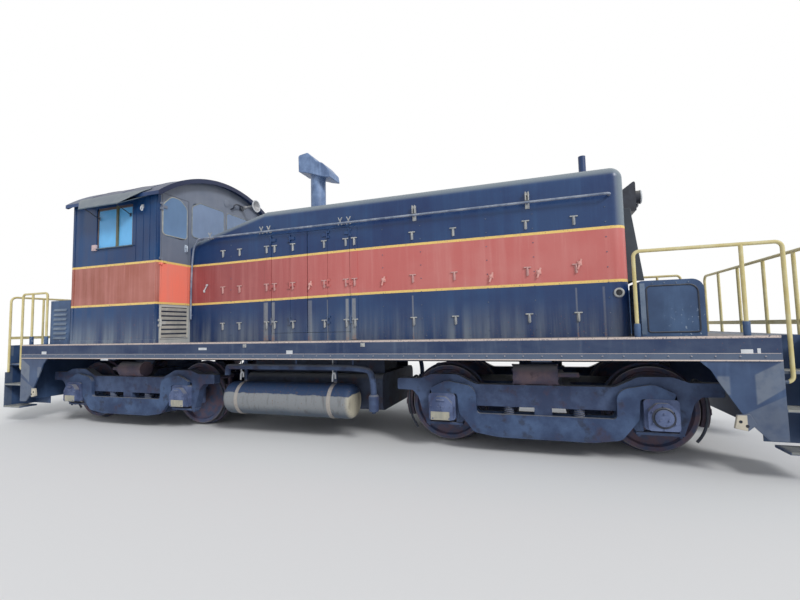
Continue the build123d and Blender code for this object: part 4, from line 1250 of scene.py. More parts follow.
@dataclass
class Hood(Assembly):
    """Long hood: its sheets, folding doors, hinges, latches and radiator front."""

    face_y: float = 0.835
    stile_y: float = 0.843                # face of the stiles beside the folding doors
    stiles_x: Row = (-0.784, 0.744)
    stile_half: float = 0.062
    stile_z: Point = (1.405, 3.115)
    hinge_rows: Row = (RAIL_Z + 1.625, RAIL_Z + 2.237, RAIL_Z + 2.857)
    fixed_hinges_x: Row = (-1.68, -1.34, 1.67, 2.27, 3.24, 3.83)
    stile_hinges_x: Row = (-0.80, 0.76)
    leaf_hinges_x: tuple[tuple[str, float], ...] = (
        ("rear_inner", -0.655), ("rear_outer", -0.315), ("front_inner", 0.615), ("front_outer", 0.245))
    levers: Outline = (
        (1.22, RAIL_Z + 2.24), (2.77, RAIL_Z + 2.20), (3.38, RAIL_Z + 2.22), (3.87, RAIL_Z + 2.30))
    door_lever: Point = (0.0, RAIL_Z + 2.24)
    port: Point = (4.30, RAIL_Z + 1.906)
    hasp_at: Point = (-2.04, RAIL_Z + 2.29)
    seams_x: Row = (-1.55, 1.178, 1.759, 2.689, 3.292, 4.16)
    seam_to_bolt: float = 0.032
    foot_bolts_z: float = 1.445
    folding_doors_x: Point = (-0.75, 0.72)
    rail_y: float = -0.91                 # grab rail's line, its height and radius
    rail_z: float = 3.166
    rail_r: float = 0.016
    clamps_x: Row = (-1.90, -0.86, -0.72, 0.56, 0.70)
    stands_x: Row = (1.714, 3.272)
    fall_x: float = -2.345                # where the grab rail falls beside the cab door
    fall_y: float = -0.862
    fall_z: Point = (1.787, 2.906)
    standoffs_z: Point = (1.857, 2.786)
    shroud_z: Point = (2.088, 3.028)
    shroud_back_x: float = 4.415
    shroud_foot_x: float = 4.63
    shroud_top_x: float = 4.52
    shroud_half: float = 0.62
    shroud_sheet: float = 0.02
    slats: int = 9
    slat_turn: float = 0.61

    def paint_nodes(self) -> None:
        """Paints the hood's nodes."""
        names = [name for name in self.nodes if name.startswith("hood_") and name != "hood_grab_rails"]
        self.dress(HOOD_PAINT, *names)
        self.dress(NOSE_PAINT, "radiator_front")
        self.dress(GRAB_GREY, "hood_grab_rails")
        self.dress(ENGINE_GREY, "engine_block")

    def on_face(self, points: Iterable[Point]) -> list[Matrix]:
        """Places at those points of both hood faces."""
        return side_places(self.face_y, points)

    def hinge(self) -> Piece:
        """T-shaped strap hinge against a sheet at y = 0."""
        bar = self.block("bar", (-0.048, -0.018, 0.043), (0.048, 0.0, 0.060), 0.004)
        barrel = self.rod("barrel", (0, -0.014, -0.064), (0, -0.014, 0.052), 0.010, 12, 0.003)
        leaf = self.block("leaf", (-0.018, -0.007, -0.056), (0.018, 0.0, 0.05), 0.003)
        heads = [self.rod("head", (x, -0.006, z), (x, -0.012, z), 0.005, HEX)
                 for x, z in ((-0.036, 0.051), (0.036, 0.051), (0.0, -0.035))]
        return self.join("hinge", (bar, barrel, leaf, *heads))

    def hinges(self) -> None:
        """Stiles, and the hinges of the fixed panels, of the stiles and of each folding leaf."""
        places = self.on_face(grid(self.fixed_hinges_x, self.hinge_rows))
        places += side_places(self.stile_y, grid(self.stile_hinges_x, self.hinge_rows))
        self.fit_copies("hood_panel_hinges", self.hinge(), places, HINGE_PAINT, "hood_paint")
        low, high = self.stile_z
        stiles = [self.block("stile", (x - self.stile_half, -self.stile_y, low),
                             (x + self.stile_half, -self.face_y + 0.001, high), 0.003)
                  for x in self.stiles_x]
        self.fit_pair("hood_stiles", stiles, HOOD_PAINT, "hood_paint")
        for name, side in BOTH_SIDES:
            for leaf, x in self.leaf_hinges_x:
                places = [spot(x, side * self.face_y, z, side) for z in self.hinge_rows]
                self.fit_copies(f"{name}_{leaf}_door_hinges", self.hinge(), places, HINGE_PAINT, "hood_paint",
                                f"hood_{name}_{leaf}_half")

    def lever(self) -> Piece:
        """Slanted latch lever with its pivot against a sheet at y = 0."""
        arm = self.block("arm", (-0.012, -0.03, -0.085), (0.012, -0.014, 0.055), 0.004, (0, 0.35, 0))
        pivot = self.rod("pivot", (0, 0, 0), (0, -0.034, 0), 0.022, 16, 0.004)
        base = self.block("base", (-0.03, -0.008, -0.03), (0.03, 0, 0.03), 0.003)
        return self.join("lever", (arm, pivot, base))

    def latch_levers(self) -> None:
        """Latch levers of the fixed panels, and the one on each front folding door."""
        places = self.on_face(self.levers)
        self.fit_copies("hood_latch_levers", self.lever(), places, LEVER_PINK, "hood_paint")
        x, z = self.door_lever
        for name, side in BOTH_SIDES:
            place = spot(x, side * self.face_y, z, side)
            self.fit_copies(f"{name}_folding_door_lever", self.lever(), [place], LEVER_PINK, "hood_paint",
                            f"hood_{name}_front_outer_half")

    def panel_bolts(self) -> None:
        """Rows of bolt heads beside the panel seams and along the foot of the hood."""
        head = self.rod("head", (0, 0.002, 0), (0, -0.006, 0), 0.008, HEX, 0.0015)
        points = grid([x + self.seam_to_bolt for x in self.seams_x], spaced(1.50, 0.19, 9))
        door_from, door_to = self.folding_doors_x
        points += [(x, self.foot_bolts_z) for x in spaced(-2.25, 0.205, 32) if not door_from < x < door_to]
        self.fit_copies("hood_panel_bolts", head, self.on_face(points), HOOD_BOLT, "hood_paint")

    def fittings(self) -> None:
        """Round port near the front, filled with a dark disc as painted shade, and slanted hasp near the cab.
        """
        profile = [(0.036, 0.002), (0.060, 0.002), (0.060, -0.012), (0.052, -0.018), (0.040, -0.018),
                   (0.036, -0.010)]
        ring = self.lathe("ring", profile, ORIGIN, Axis.Y, 36)
        self.fit_copies("hood_port_rings", ring, self.on_face([self.port]), FITTING_PALE, "hood_paint")
        # A dark disc stands in as painted shade inside the port.
        profile = [(0, 0.002), (0.038, 0.002), (0.038, -0.004), (0, -0.008)]
        glass = self.lathe("glass", profile, ORIGIN, Axis.Y, 28)
        self.fit_copies("hood_port_shade_disc", glass, self.on_face([self.port]), HOLE_SHADE, "window_glass")
        strap = self.block("strap", (-0.012, -0.016, -0.075), (0.012, -0.008, 0.075), 0.003, (0, 0.6, 0))
        eye = self.rod("eye", (0.03, 0, 0.045), (0.03, -0.03, 0.045), 0.014, 12, 0.003)
        foot = self.block("foot", (-0.055, -0.009, -0.075), (-0.02, 0, -0.03), 0.003)
        hasp = self.join("hasp", (strap, eye, foot))
        self.fit_copies("hood_hasps", hasp, self.on_face([self.hasp_at]), PLATE_PALE, "hood_paint")

    def rail_mounts(self) -> None:
        """Crossed clamps and bolted stands that hold the grab rails."""
        arms = [self.block("arm", (-0.007, -0.080, -0.037), (0.007, -0.068, 0.097), 0.002, (0, turn, 0))
                for turn in (0.5, -0.5)]
        post = self.rod("post", (0, 0, 0), (0, -0.062, 0), 0.011, 12, 0.002)
        clamp = self.join("clamp", (*arms, post))
        places = self.on_face(grid(self.clamps_x, [self.rail_z]))
        self.fit_copies("grab_rail_clamps", clamp, places, FITTING_PALE, "hood_paint")
        plate = self.block("plate", (-0.028, -0.009, -0.07), (0.028, 0.001, 0.15), 0.003)
        lugs = [self.block("lug", (x - 0.006, -0.058, 0.03), (x + 0.006, -0.004, 0.15), 0.004)
                for x in (-0.018, 0.018)]
        bolt = self.rod("bolt", (-0.03, -0.04, 0.11), (0.03, -0.04, 0.11), 0.009, 8, 0.002)
        stand = self.join("stand", (plate, *lugs, bolt))
        places = self.on_face(grid(self.stands_x, [self.rail_z]))
        self.fit_copies("grab_rail_stands", stand, places, FITTING_PALE, "hood_paint")

    def grab_falls(self) -> None:
        """Fall of each grab rail beside the cab door, with its standoffs."""
        x, y = self.fall_x, self.fall_y
        foot, knee = self.fall_z
        bend = [(-2.12, self.rail_y, self.rail_z), (-2.17, self.rail_y, self.rail_z), (x, y, knee),
                (x, y, foot)]
        fall = [self.pipe("fall", bend, self.rail_r)]
        fall += [self.rod("standoff", (x, y, z), (x, -self.face_y, z), 0.010, 12, 0.002)
                 for z in self.standoffs_z]
        self.fit_pair("grab_rail_falls", fall, GRAB_GREY, "hood_paint")

    def shroud(self) -> None:
        """Sloping shroud over the upper part of the grille, with the slats that it carries."""
        (low, high), back, half, sheet = self.shroud_z, self.shroud_back_x, self.shroud_half, self.shroud_sheet
        inner = half - sheet
        cheek = [(back, low), (self.shroud_foot_x, low), (self.shroud_top_x, high), (back, high)]
        parts = [self.plate("cheek", cheek, Axis.Y, y, y + sheet, 0.003) for y in (-half, inner)]
        parts.append(self.block("top", (back, -inner - 0.01, high - sheet),
                                (self.shroud_top_x - 0.002, inner + 0.01, high), 0.003))
        slope = (self.shroud_top_x - self.shroud_foot_x) / (high - low)
        for z in spaced(low + 0.05, 0.1, self.slats):
            x = self.shroud_foot_x + slope * (z - low) - 0.034
            parts.append(self.block("slat", (x - 0.003, -inner - 0.002, z - 0.045),
                                    (x + 0.003, inner + 0.002, z + 0.045), 0.001, (0, self.slat_turn, 0)))
        self.fit(self.join("radiator_shroud", parts), "body", SHROUD_PAINT, "hood_paint")

    def build(self) -> None:
        """Builds the hood's looks."""
        self.paint_nodes()
        self.grab_falls()
        self.shroud()
        self.hinges()
        self.latch_levers()
        self.panel_bolts()
        self.fittings()
        self.rail_mounts()


@dataclass
class Cab(Assembly):
    """Cab: walls, arched roof, doors, windows, awnings and horn."""

    front_x: float = -2.387
    rear_x: float = -4.335
    side_y: float = 1.5
    side_top_z: float = 3.80
    roof_centre_z: float = DECK_Z + 0.5565
    roof_r: float = 2.4645
    door_window: tuple[Corner, ...] = (
        (-1.41, DECK_Z + 1.773, 0.06), (-0.925, DECK_Z + 1.773, 0.06), (-0.925, DECK_Z + 2.32, 0.12),
        (-1.08, DECK_Z + 2.440, 0.16), (-1.25, DECK_Z + 2.440, 0.16), (-1.41, DECK_Z + 2.27, 0.12))
    front_window: tuple[Corner, ...] = (
        (-0.815, DECK_Z + 1.851, 0.06), (-0.035, DECK_Z + 1.851, 0.06), (-0.035, DECK_Z + 2.501, 0.06),
        (-0.64, DECK_Z + 2.501, 0.09), (-0.815, DECK_Z + 2.395, 0.09))
    rear_windows_y: Outline = ((-0.70, 0.09), (0.44, 1.33))
    rear_windows_z: Point = (DECK_Z + 1.631, DECK_Z + 2.321)
    rear_window_r: float = 0.07
    bead_r: float = 0.010
    side_window: Row = (-3.76, -2.93, 3.028, 3.718)
    sash_depth: float = 0.018
    mullion_x: float = -3.285
    handle_y: float = -0.945
    handle_z: float = RAIL_Z + 3.0
    louvre_y: Point = (-1.43, -0.90)
    louvre_z: Point = (1.478, 1.990)
    corner_battens_x: Row = (-2.43, -4.29)
    ribs_x: Row = (-2.86, -2.70, -2.56)
    rivet_pitch: float = 0.115
    awning_x: Point = (-3.79, -2.90)
    awning_reach: float = 0.287
    awning_lip_z: float = DECK_Z + 2.431 - 0.186
    awning_section: Outline = (          # y and z of the sheet, drawn on the right side
        (-1.500, 3.922), (-1.606, 3.850), (-1.794, 3.640), (-1.790, 3.634), (-1.601, 3.844), (-1.498, 3.915))
    stays_x: Row = (-3.70, -2.98)
    seams_x: Row = (-3.95, -3.25, -2.62)
    eyes_x: Row = (-2.45, -4.20)
    horn_y: float = 0.45
    horn_z: float = RAIL_Z + 4.08
    stand: Row = (-2.86, -0.60, DECK_Z + 0.06 + 1.13)

    def paint_nodes(self) -> None:
        """Paints the cab's nodes."""
        self.dress(CAB_PAINT, "cab_right_wall", "cab_left_wall", "cab_rear_wall", "cab_rear_door")
        self.dress(SUNLIT_CAB_FRONT_PAINT, "cab_front_wall", "cab_front_door")
        self.dress(ROOF_PAINT, "cab_roof")
        self.dress(PaneGlass("cab_glazing"), "cab_glass")
        self.dress(AWNING_PAINT, "cab_awnings")
        self.dress(FLOOR_GREY, "cab_floor")
        self.dress(STAND_GREY, "control_stand", "driver_seat")
        self.dress(HORN_METAL, "air_horn")

    def doors(self) -> list[tuple[str, str, Matrix]]:
        """Name start, body and place of what both cab doors carry, drawn on the front one."""
        turn = Matrix.Translation((self.front_x + self.rear_x, 0, 0)) @ HALF_TURN
        return [(f"cab_{end}", f"cab_{end}_door_leaf", place)
                for end, place in zip(ENDS, (Matrix.Identity(4), turn))]

    def bead(self, corners: Sequence[Corner], x: float) -> Piece:
        """Rubber bead round a window of an end wall."""
        return self.loop("bead", [(x, u, v) for u, v in rounded(corners)], self.bead_r)

    def door_parts(self) -> None:
        """Glass, bead and handle of both cab doors."""
        x, y, z = self.front_x, self.handle_y, self.handle_z
        for start, body, place in self.doors():
            pane = self.plate("pane", rounded(self.door_window), Axis.X, x + 0.001, x + 0.006)
            self.fit_copies(f"{start}_door_glass", pane, [place], DOOR_GLASS, "window_glass", body)
            bead = self.bead(self.door_window, x - 0.001)
            self.fit_copies(f"{start}_door_bead", bead, [place], GASKET, "cab_front_paint", body)
            grip = self.rod("grip", (x + 0.034, y, z - 0.075), (x + 0.034, y, z + 0.03), 0.011, 14, 0.004)
            stem = self.rod("stem", (x, y, z), (x + 0.036, y, z), 0.016, 14, 0.004)
            rose = self.block("rose", (x - 0.001, y - 0.024, z - 0.08), (x + 0.006, y + 0.024, z + 0.05), 0.004)
            handle = self.join("handle", (grip, stem, rose))
            self.fit_copies(f"{start}_door_handle", handle, [place], HANDLE_BRIGHT, "cab_front_paint", body)

    def window_beads(self) -> None:
        """Panes of the fixed front windows, and rubber beads of the fixed windows of both end walls."""
        x = self.front_x
        mirrored = tuple((-u, v, r) for u, v, r in self.front_window)
        beads = [self.bead(corners, x) for corners in (self.front_window, mirrored)]
        panes = [self.plate("pane", rounded(corners), Axis.X, x + 0.001, x + 0.005)
                 for corners in (self.front_window, mirrored[::-1])]
        self.fit(self.join("cab_front_panes", panes), "body", FRONT_GLASS, "window_glass")
        foot, head = self.rear_windows_z
        rear_wall = self.doors()[1][2]
        for low, high in self.rear_windows_y:
            corners = [(u, v, self.rear_window_r)
                       for u, v in ((low, foot), (high, foot), (high, head), (low, head))]
            beads.append(self.repeat("bead", self.bead(corners, x), [rear_wall]))
        self.fit(self.join("cab_window_beads", beads), "body", GASKET_DARK, "cab_front_paint")

    def louvres(self) -> None:
        """Pale louvre panel in the lower part of each cab door, on a dark back plate that stands in as painted
        shade between the slats.
        """
        x = self.front_x
        (y0, y1), (z0, z1) = self.louvre_y, self.louvre_z
        for start, body, place in self.doors():
            # A dark back plate as painted shade between the slats.
            back = self.block("back", (x - 0.001, y0 + 0.005, z0 + 0.004), (x + 0.003, y1 - 0.005, z1 - 0.005),
                              0.001)
            self.fit_copies(f"{start}_louvre_shade_panel", back, [place], FITTING_DARK, "cab_front_paint", body)
            parts = [self.block("slat", (x + 0.004, y0, z - 0.024), (x + 0.010, y1, z + 0.024), 0.002,
                                (0, 0.32, 0))
                     for z in spaced(z0 + 0.034, 0.0725, 7)]
            parts += [self.block("edge", (x, y - 0.008, z0), (x + 0.016, y + 0.008, z1), 0.003)
                      for y in (y0 + 0.002, y1 - 0.002)]
            slats = self.join("slats", parts)
            self.fit_copies(f"{start}_louvre_slats", slats, [place], LOUVRE_PALE, "cab_front_paint", body)

    def sashes(self) -> None:
        """Brown sash, mullion, sill lip and stop block of each side window."""
        x0, x1, z0, z1 = self.side_window
        side = -self.side_y
        face = side + self.sash_depth
        bars = [
            self.block("top", (x0, face - 0.004, z1 - 0.045), (x1, face + 0.02, z1 + 0.002), 0.004),
            self.block("rear", (x0 - 0.002, face - 0.004, z0), (x0 + 0.032, face + 0.02, z1), 0.004),
            self.block("front", (x1 - 0.032, face - 0.004, z0), (x1 + 0.002, face + 0.02, z1), 0.004),]
        self.fit_pair("cab_window_sashes", bars, FRAME_BROWN, "cab_paint")
        post = self.block("post", (self.mullion_x - 0.022, side - 0.003, z0),
                          (self.mullion_x + 0.022, face + 0.012, z1), 0.004)
        self.fit_pair("cab_window_mullions", [post], MULLION_OLIVE, "cab_paint")
        lip = self.block("lip", (x0 - 0.03, side - 0.034, z0 - 0.022), (x1 + 0.03, side + 0.004, z0 - 0.006),
                         0.005)
        self.fit_pair("cab_window_sills", [lip], AWNING_PAINT, "cab_paint")
        stop = self.block("stop", (x0 - 0.07, side - 0.034, z0 - 0.04), (x0 + 0.03, side + 0.001, z0 + 0.06),
                          0.006)
        self.fit_pair("cab_window_stops", [stop], HOOK_PINK, "cab_paint")

    def side_trim(self) -> None:
        """Battens, ribs, rivet rows and hooks of the cab sides."""
        y, top = self.side_y, self.side_top_z
        parts = [self.block("batten", (x - 0.018, -y - 0.007, DECK_Z + 0.02), (x + 0.018, -y, top), 0.003)
                 for x in self.corner_battens_x]
        parts += [self.block("rib", (x - 0.007, -y - 0.005, STRIPE_HIGH_Z + 0.03), (x + 0.007, -y, top), 0.002)
                  for x in self.ribs_x]
        parts.append(self.block("foot", (-4.33, -y - 0.008, DECK_Z + 0.012), (-2.39, -y, DECK_Z + 0.07), 0.004))
        self.fit_pair("cab_side_battens", parts, CAB_PAINT, "cab_paint")
        profile = [(0, -0.006), (0.005, -0.005), (0.009, 0.0), (0.009, 0.002), (0, 0.002)]
        rivet = self.lathe("rivet", profile, ORIGIN, Axis.Y, 8)
        columns = grid(self.corner_battens_x, spaced(DECK_Z + 0.1, self.rivet_pitch, 20))
        row = [(x, DECK_Z + 0.042) for x in spaced(-4.25, self.rivet_pitch, 16)]
        places = side_places(y + 0.007, columns) + side_places(y + 0.008, row)
        self.fit_copies("cab_side_rivets", rivet, places, CAB_PAINT, "cab_paint")
        hook = [self.pipe("hook", [(-2.72, -y, 3.645), (-2.72, -y - 0.035, 3.645), (-2.715, -y - 0.04, 3.58),
                                   (-2.675, -y - 0.04, 3.55), (-2.67, -y - 0.04, 3.60)], 0.008),
                self.block("plate", (-2.75, -y - 0.005, 3.61), (-2.69, -y, 3.675), 0.003)]
        self.fit_pair("cab_side_hooks", hook, PLATE_PALE, "cab_paint")

    def awnings(self) -> None:
        """Rolled lip, sheet and stays of the awning over each side window."""
        wall = -self.side_y
        lip_y, lip_z = wall - self.awning_reach, self.awning_lip_z
        rear, front = self.awning_x
        lip = self.rod("lip", (rear, lip_y, lip_z), (front, lip_y, lip_z), 0.009, 10, 0.003)
        self.fit_pair("awning_edges", [lip], AWNING_PAINT, "cab_paint")
        cover = self.plate("cover", self.awning_section, Axis.X, -4.0, -2.7)
        for vertex in cover.data.vertices:            # both ends lean in towards the lip
            rise = vertex.co.z - 3.636
            vertex.co.x = rear + 0.015 - 1.32 * rise if vertex.co.x < -3.4 else front + 0.008 + 1.36 * rise
        self.fit_pair("awning_covers", [cover], AWNING_PAINT, "cab_paint")
        stays = []
        for x in self.stays_x:
            stays.append(self.rod("stay", (x, wall, lip_z - 0.11), (x, lip_y + 0.03, lip_z + 0.006), 0.008, 10,
                                  0.002))
            stays.append(self.block("foot", (x - 0.02, wall - 0.006, lip_z - 0.14),
                                    (x + 0.02, wall, lip_z - 0.08), 0.002))
        self.fit_pair("awning_stays", stays, FITTING_DARK, "cab_paint")

    def roof_trim(self) -> None:
        """Standing seams and lifting eyes of the arched roof."""
        radius = self.roof_r
        angles = [math.radians(a) for a in range(-40, 41, 4)]
        arch = [(radius * math.sin(a), self.roof_centre_z + radius * math.cos(a)) for a in angles]
        seams = [self.pipe("seam", [(x, u, v) for u, v in arch], 0.008) for x in self.seams_x]
        self.fit(self.join("cab_roof_seams", seams), "body", ROOF_PAINT, "roof_paint")
        loop = [(0, 0, -0.012), (0, 0, 0.04), (0, 0.03, 0.075), (0, 0.06, 0.04), (0, 0.06, -0.012)]
        eye = self.pipe("eye", loop, 0.010)
        foot = self.block("foot", (-0.025, -0.02, -0.004), (0.025, 0.08, 0.008), 0.003)
        y = 0.10
        z = self.roof_centre_z + radius - (y + 0.03) ** 2 / (2 * radius) - 0.004
        places = [Matrix.Translation((x, y, z)) for x in self.eyes_x]
        self.fit_copies("cab_roof_eyes", self.join("eye", (eye, foot)), places, FITTING_DARK, "roof_paint")

    def horn_parts(self) -> None:
        """Bell ring and air pipe of the horn and the round cover beside it."""
        x, y, z = self.front_x, self.horn_y, self.horn_z
        ring = [(0.101, 0.371), (0.114, 0.368), (0.123, 0.377), (0.120, 0.388), (0.104, 0.387)]
        bell = self.lathe("horn_bell_ring", ring, (x, y, z), Axis.X, 40)
        self.fit(bell, "body", PLATE_PALE, "horn_steel")
        run = [(0, -0.30, -0.10), (0.07, -0.30, -0.10), (0.08, -0.29, -0.02), (0.08, -0.20, 0.02),
               (0.08, -0.05, 0.0), (0.08, -0.02, 0)]
        pipe = self.pipe("pipe", [(x + u, y + v, z + w) for u, v, w in run], 0.014)
        clip = self.block("clip", (x, y - 0.05, z - 0.05), (x + 0.03, y + 0.05, z + 0.05), 0.006)
        self.fit(self.join("horn_air_pipe", (pipe, clip)), "body", FITTING_DARK, "horn_steel")
        cover = [(0, 0.012), (0.062, 0.012), (0.070, 0.008), (0.074, 0.0), (0.074, -0.003), (0, -0.003)]
        disc = self.lathe("cab_front_cover", cover, (x, y - 0.42, z - 0.02), Axis.X, 32)
        self.fit(disc, "body", SUNLIT_CAB_FRONT_PAINT, "cab_front_paint")

    def controls(self) -> None:
        """Handles and gauges of the control stand."""
        x, y, z = self.stand
        levers = []
        for i, dy in enumerate((-0.11, 0.0, 0.11)):
            raised, tip = 0.02 * i, x - 0.10
            levers.append(self.rod("arm", (x, y + dy, z - 0.06), (tip, y + dy, z + 0.05 + raised), 0.010, 12,
                                   0.002))
            levers.append(self.rod("knob", (tip, y + dy, z + 0.045 + raised),
                                   (tip - 0.02, y + dy, z + 0.075 + raised), 0.021, 16, 0.008))
        self.fit(self.join("control_handles", levers), "body", FITTING_DARK, "stand_grey")
        profile = [(0.0, -0.008), (0.040, -0.008), (0.046, 0.0), (0.042, 0.016), (0.036, 0.010), (0, 0.010)]
        gauges = [self.lathe("gauge", profile, (x + 0.21, y + dy, z + 0.012), Axis.Z, 24)
                  for dy in (-0.10, 0.02, 0.13)]
        self.fit(self.join("control_gauges", gauges), "body", PLATE_PALE, "stand_grey")

    def build(self) -> None:
        """Builds the cab's looks."""
        self.paint_nodes()
        self.door_parts()
        self.window_beads()
        self.louvres()
        self.sashes()
        self.side_trim()
        self.awnings()
        self.roof_trim()
        self.horn_parts()
        self.controls()


@dataclass
class Frame(Assembly):
    """Underframe, ends, handrails, tanks and what stands on the decks."""

    sill_y: float = 1.52
    strip_y: float = 1.529                # face of the doubler strip along the sill's foot
    strip: Outline = (          # y and z of the doubler strip and its lip
        (-1.518, 1.160), (-1.534, 1.160), (-1.534, 1.168), (-1.529, 1.171), (-1.529, 1.234), (-1.518, 1.238))
    strip_half: float = 5.54
    strip_top: float = 1.21               # plates lower than this above the rail lie on the strip
    rivets_z: float = RAIL_Z + 1.173
    plates: tuple[Row, ...] = (      # x, z above the rail, width, height
        (-1.44, 1.285, 0.15, 0.035), (0.066, 1.232, 0.10, 0.05), (5.27, 1.223, 0.10, 0.05),
        (5.367, 1.23, 0.028, 0.055), (-3.46, 1.125, 0.17, 0.035), (-4.95, 1.232, 0.12, 0.05))
    fasteners: Outline = ((-0.68, RAIL_Z + 1.325), (1.168, RAIL_Z + 1.325))
    end_x: float = 5.552
    end_bolts_y: Row = (-0.9, -0.6, -0.3, 0.3, 0.6, 0.9)
    end_bolts_z: Row = (1.30, 1.02, 0.50)
    steps: Outline = (          # height of each tread and how far out it reaches
        (RAIL_Z + 0.275, 1.52), (RAIL_Z + 0.672, 1.52), (RAIL_Z + 1.030, 1.43))
    steps_x: Point = (5.556, 5.982)
    tow_bracket: Outline = ((5.120, 0.506), (5.230, 0.484), (5.302, 0.548), (5.252, 0.648), (5.148, 0.640))
    tow_holes: Outline = ((5.170, 0.573), (5.222, 0.533))
    tow_y: Point = (-1.534, -1.500)
    posts_x: Row = (4.340, 5.300, -4.976, -5.366)
    posts_y: float = -1.48
    stack_x: float = -0.318
    stack_foot_z: float = 3.548
    cowl: tuple[Corner, ...] = (          # outline above the stack's foot, seen from the side
        (-0.294, 0.85, 0.012), (-0.300, 1.150, 0.04), (-0.110, 1.180, 0.06), (0.060, 1.0, 0.06),
        (0.180, 0.950, 0.06), (0.320, 0.790, 0.04), (0.340, 0.665, 0.012), (0.200, 0.695, 0.06),
        (-0.100, 0.800, 0.04))
    cowl_half: float = 0.185
    air_y: float = -1.25
    air_z: float = 1.030
    air_r: float = 0.042
    filter_x: float = 1.20
    pin_x: float = 6.62
    pin_y: float = -0.14
    battery_x: float = 4.49
    battery_y: float = -1.0
    battery_lid: tuple[Corner, ...] = (
        (4.555, 1.445, 0.03), (5.07, 1.445, 0.03), (5.07, 1.985, 0.09), (4.555, 1.985, 0.05))
    tank_y: float = -1.05
    tank_z: float = RAIL_Z + 0.51
    tank_r: float = 0.26
    straps_x: Row = (-1.03, 0.55)
    lamps_y: Row = (-0.095, 0.095)
    front_lamp: Point = (4.750, DECK_Z + 1.901)
    rear_lamp: Point = (-4.535, DECK_Z + 2.586)

    def paint_nodes(self) -> None:
        """Paints the nodes of the frame."""
        self.dress(SILL_PAINT, "underframe")
        self.dress(END_PAINT, "front_end_plate", "rear_end_plate")
        self.dress(RAIL_YELLOW, "handrails")
        self.dress(COUPLER_IRON, "couplers")
        self.dress(BOX_PAINT, "deck_boxes")
        self.dress(TANK_PAINT, "fuel_tank")
        self.dress(ReservoirPaint("reservoir_paint", self.tank_z), "air_reservoirs")
        self.dress(LAMP_BLACK, "headlights")

    def sill_trim(self) -> None:
        """Blank plates, pale fasteners and the riveted doubler strip of the sills."""
        plates = []
        for x, height, wide, tall in self.plates:
            y, z = -self.strip_y if height < self.strip_top else -self.sill_y, RAIL_Z + height
            plates.append(self.block("plate", (x - wide / 2, y - 0.003, z - tall / 2),
                                     (x + wide / 2, y + 0.002, z + tall / 2), 0.0015))
        self.fit_pair("sill_blank_plates", plates, PLATE_PALE, "frame_paint")
        clips, y = [], -self.sill_y
        for x, z in self.fasteners:
            clips.append(self.rod("stud", (x, y, z), (x, y - 0.02, z), 0.012, 12, 0.003))
            clips.append(self.block("tab", (x - 0.03, y - 0.008, z - 0.025), (x + 0.03, y, z + 0.025), 0.003))
        self.fit_pair("sill_fasteners", clips, FITTING_PALE, "frame_paint")
        strip = self.plate("strip", self.strip, Axis.X, -self.strip_half, self.strip_half)
        self.fit_pair("sill_doublers", [strip], SILL_PAINT, "frame_paint")
        profile = [(0, -0.008), (0.008, -0.006), (0.013, 0.0), (0.013, 0.002), (0, 0.002)]
        rivet = self.lathe("rivet", profile, ORIGIN, Axis.Y, 8)
        places = side_places(self.strip_y, grid(spaced(-5.45, 0.205, 54), [self.rivets_z]))
        self.fit_copies("sill_strip_rivets", rivet, places, SILL_PAINT, "frame_paint")

    def end_trim(self) -> None:
        """Bolt rows of the end plates, and pale edges and ribs on the step treads."""
        head = self.rod("head", (-0.002, 0, 0), (0.014, 0, 0), 0.015, HEX, 0.003)
        places = [turn @ Matrix.Translation((self.end_x, y, z))
                  for turn in BOTH_ENDS for y, z in grid(self.end_bolts_y, self.end_bolts_z)]
        self.fit_copies("end_plate_bolts", head, places, END_PAINT, "frame_paint")
        edges, (x0, x1) = [], self.steps_x
        for z, reach in self.steps:
            edges.append(self.block("edge", (x0, -reach - 0.002, z - 0.020), (x1, -reach + 0.030, z + 0.003),
                                    0.003))
            edges += [self.rod("rib", (x0 + 0.014, y, z + 0.001), (x1 - 0.012, y, z + 0.001), 0.004, 8, 0.001)
                      for y in spaced(-reach + 0.06, 0.04, 5)]
        self.fit_corners("step_edges", edges, STEP_EDGE, "frame_paint")

    def tow_brackets(self) -> None:
        """Towing bracket at the foot of each end plate's gussets, with dark discs as painted shade in its
        holes.
        """
        face, back = self.tow_y
        bracket = self.plate("bracket", self.tow_bracket, Axis.Y, face, back, 0.004)
        self.fit_corners("tow_brackets", [bracket], END_PAINT, "frame_paint")
        # Dark discs stand in as painted shade in the bracket's holes.
        disc = [(0, 0.002), (0.015, 0.002), (0.015, -0.002), (0, -0.002)]
        holes = [self.lathe("hole", disc, (x, face, z), Axis.Y, 16) for x, z in self.tow_holes]
        self.fit_corners("tow_bracket_hole_shade", holes, HOLE_SHADE, "frame_paint")

    def post_sockets(self) -> None:
        """Sockets of the handrail posts on the decks."""
        y = self.posts_y
        sockets = []
        for x in self.posts_x:
            sockets.append(self.rod("socket", (x, y, DECK_Z), (x, y, DECK_Z + 0.155), 0.031, 20, 0.006))
            sockets.append(self.block("foot", (x - 0.06, y - 0.035, DECK_Z - 0.001),
                                      (x + 0.06, y + 0.04, DECK_Z + 0.012), 0.003))
        self.fit_pair("handrail_sockets", sockets, BOX_PAINT, "frame_paint")

    def stack(self) -> None:
        """Exhaust stack with its tipped weather cowl."""
        x, foot = self.stack_x, self.stack_foot_z
        tube = [(0.118, 0.74), (0.118, 0.80), (0.133, 0.80), (0.133, 0.02), (0.163, 0.015), (0.163, -0.002),
                (0.10, -0.002), (0.10, 0.74)]
        outline = [(x + u, foot + v) for u, v in rounded(self.cowl)]
        cowl = self.plate("cowl", outline, Axis.Y, -self.cowl_half, self.cowl_half, 0.008)
        pipe = self.lathe("pipe", tube, (x, 0, foot), Axis.Z, 48)
        piece = self.join("exhaust_stack_and_cap", (pipe, cowl))
        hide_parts("exhaust_stack")
        self.fit(piece, "body", STACK_STEEL, "stack_steel")

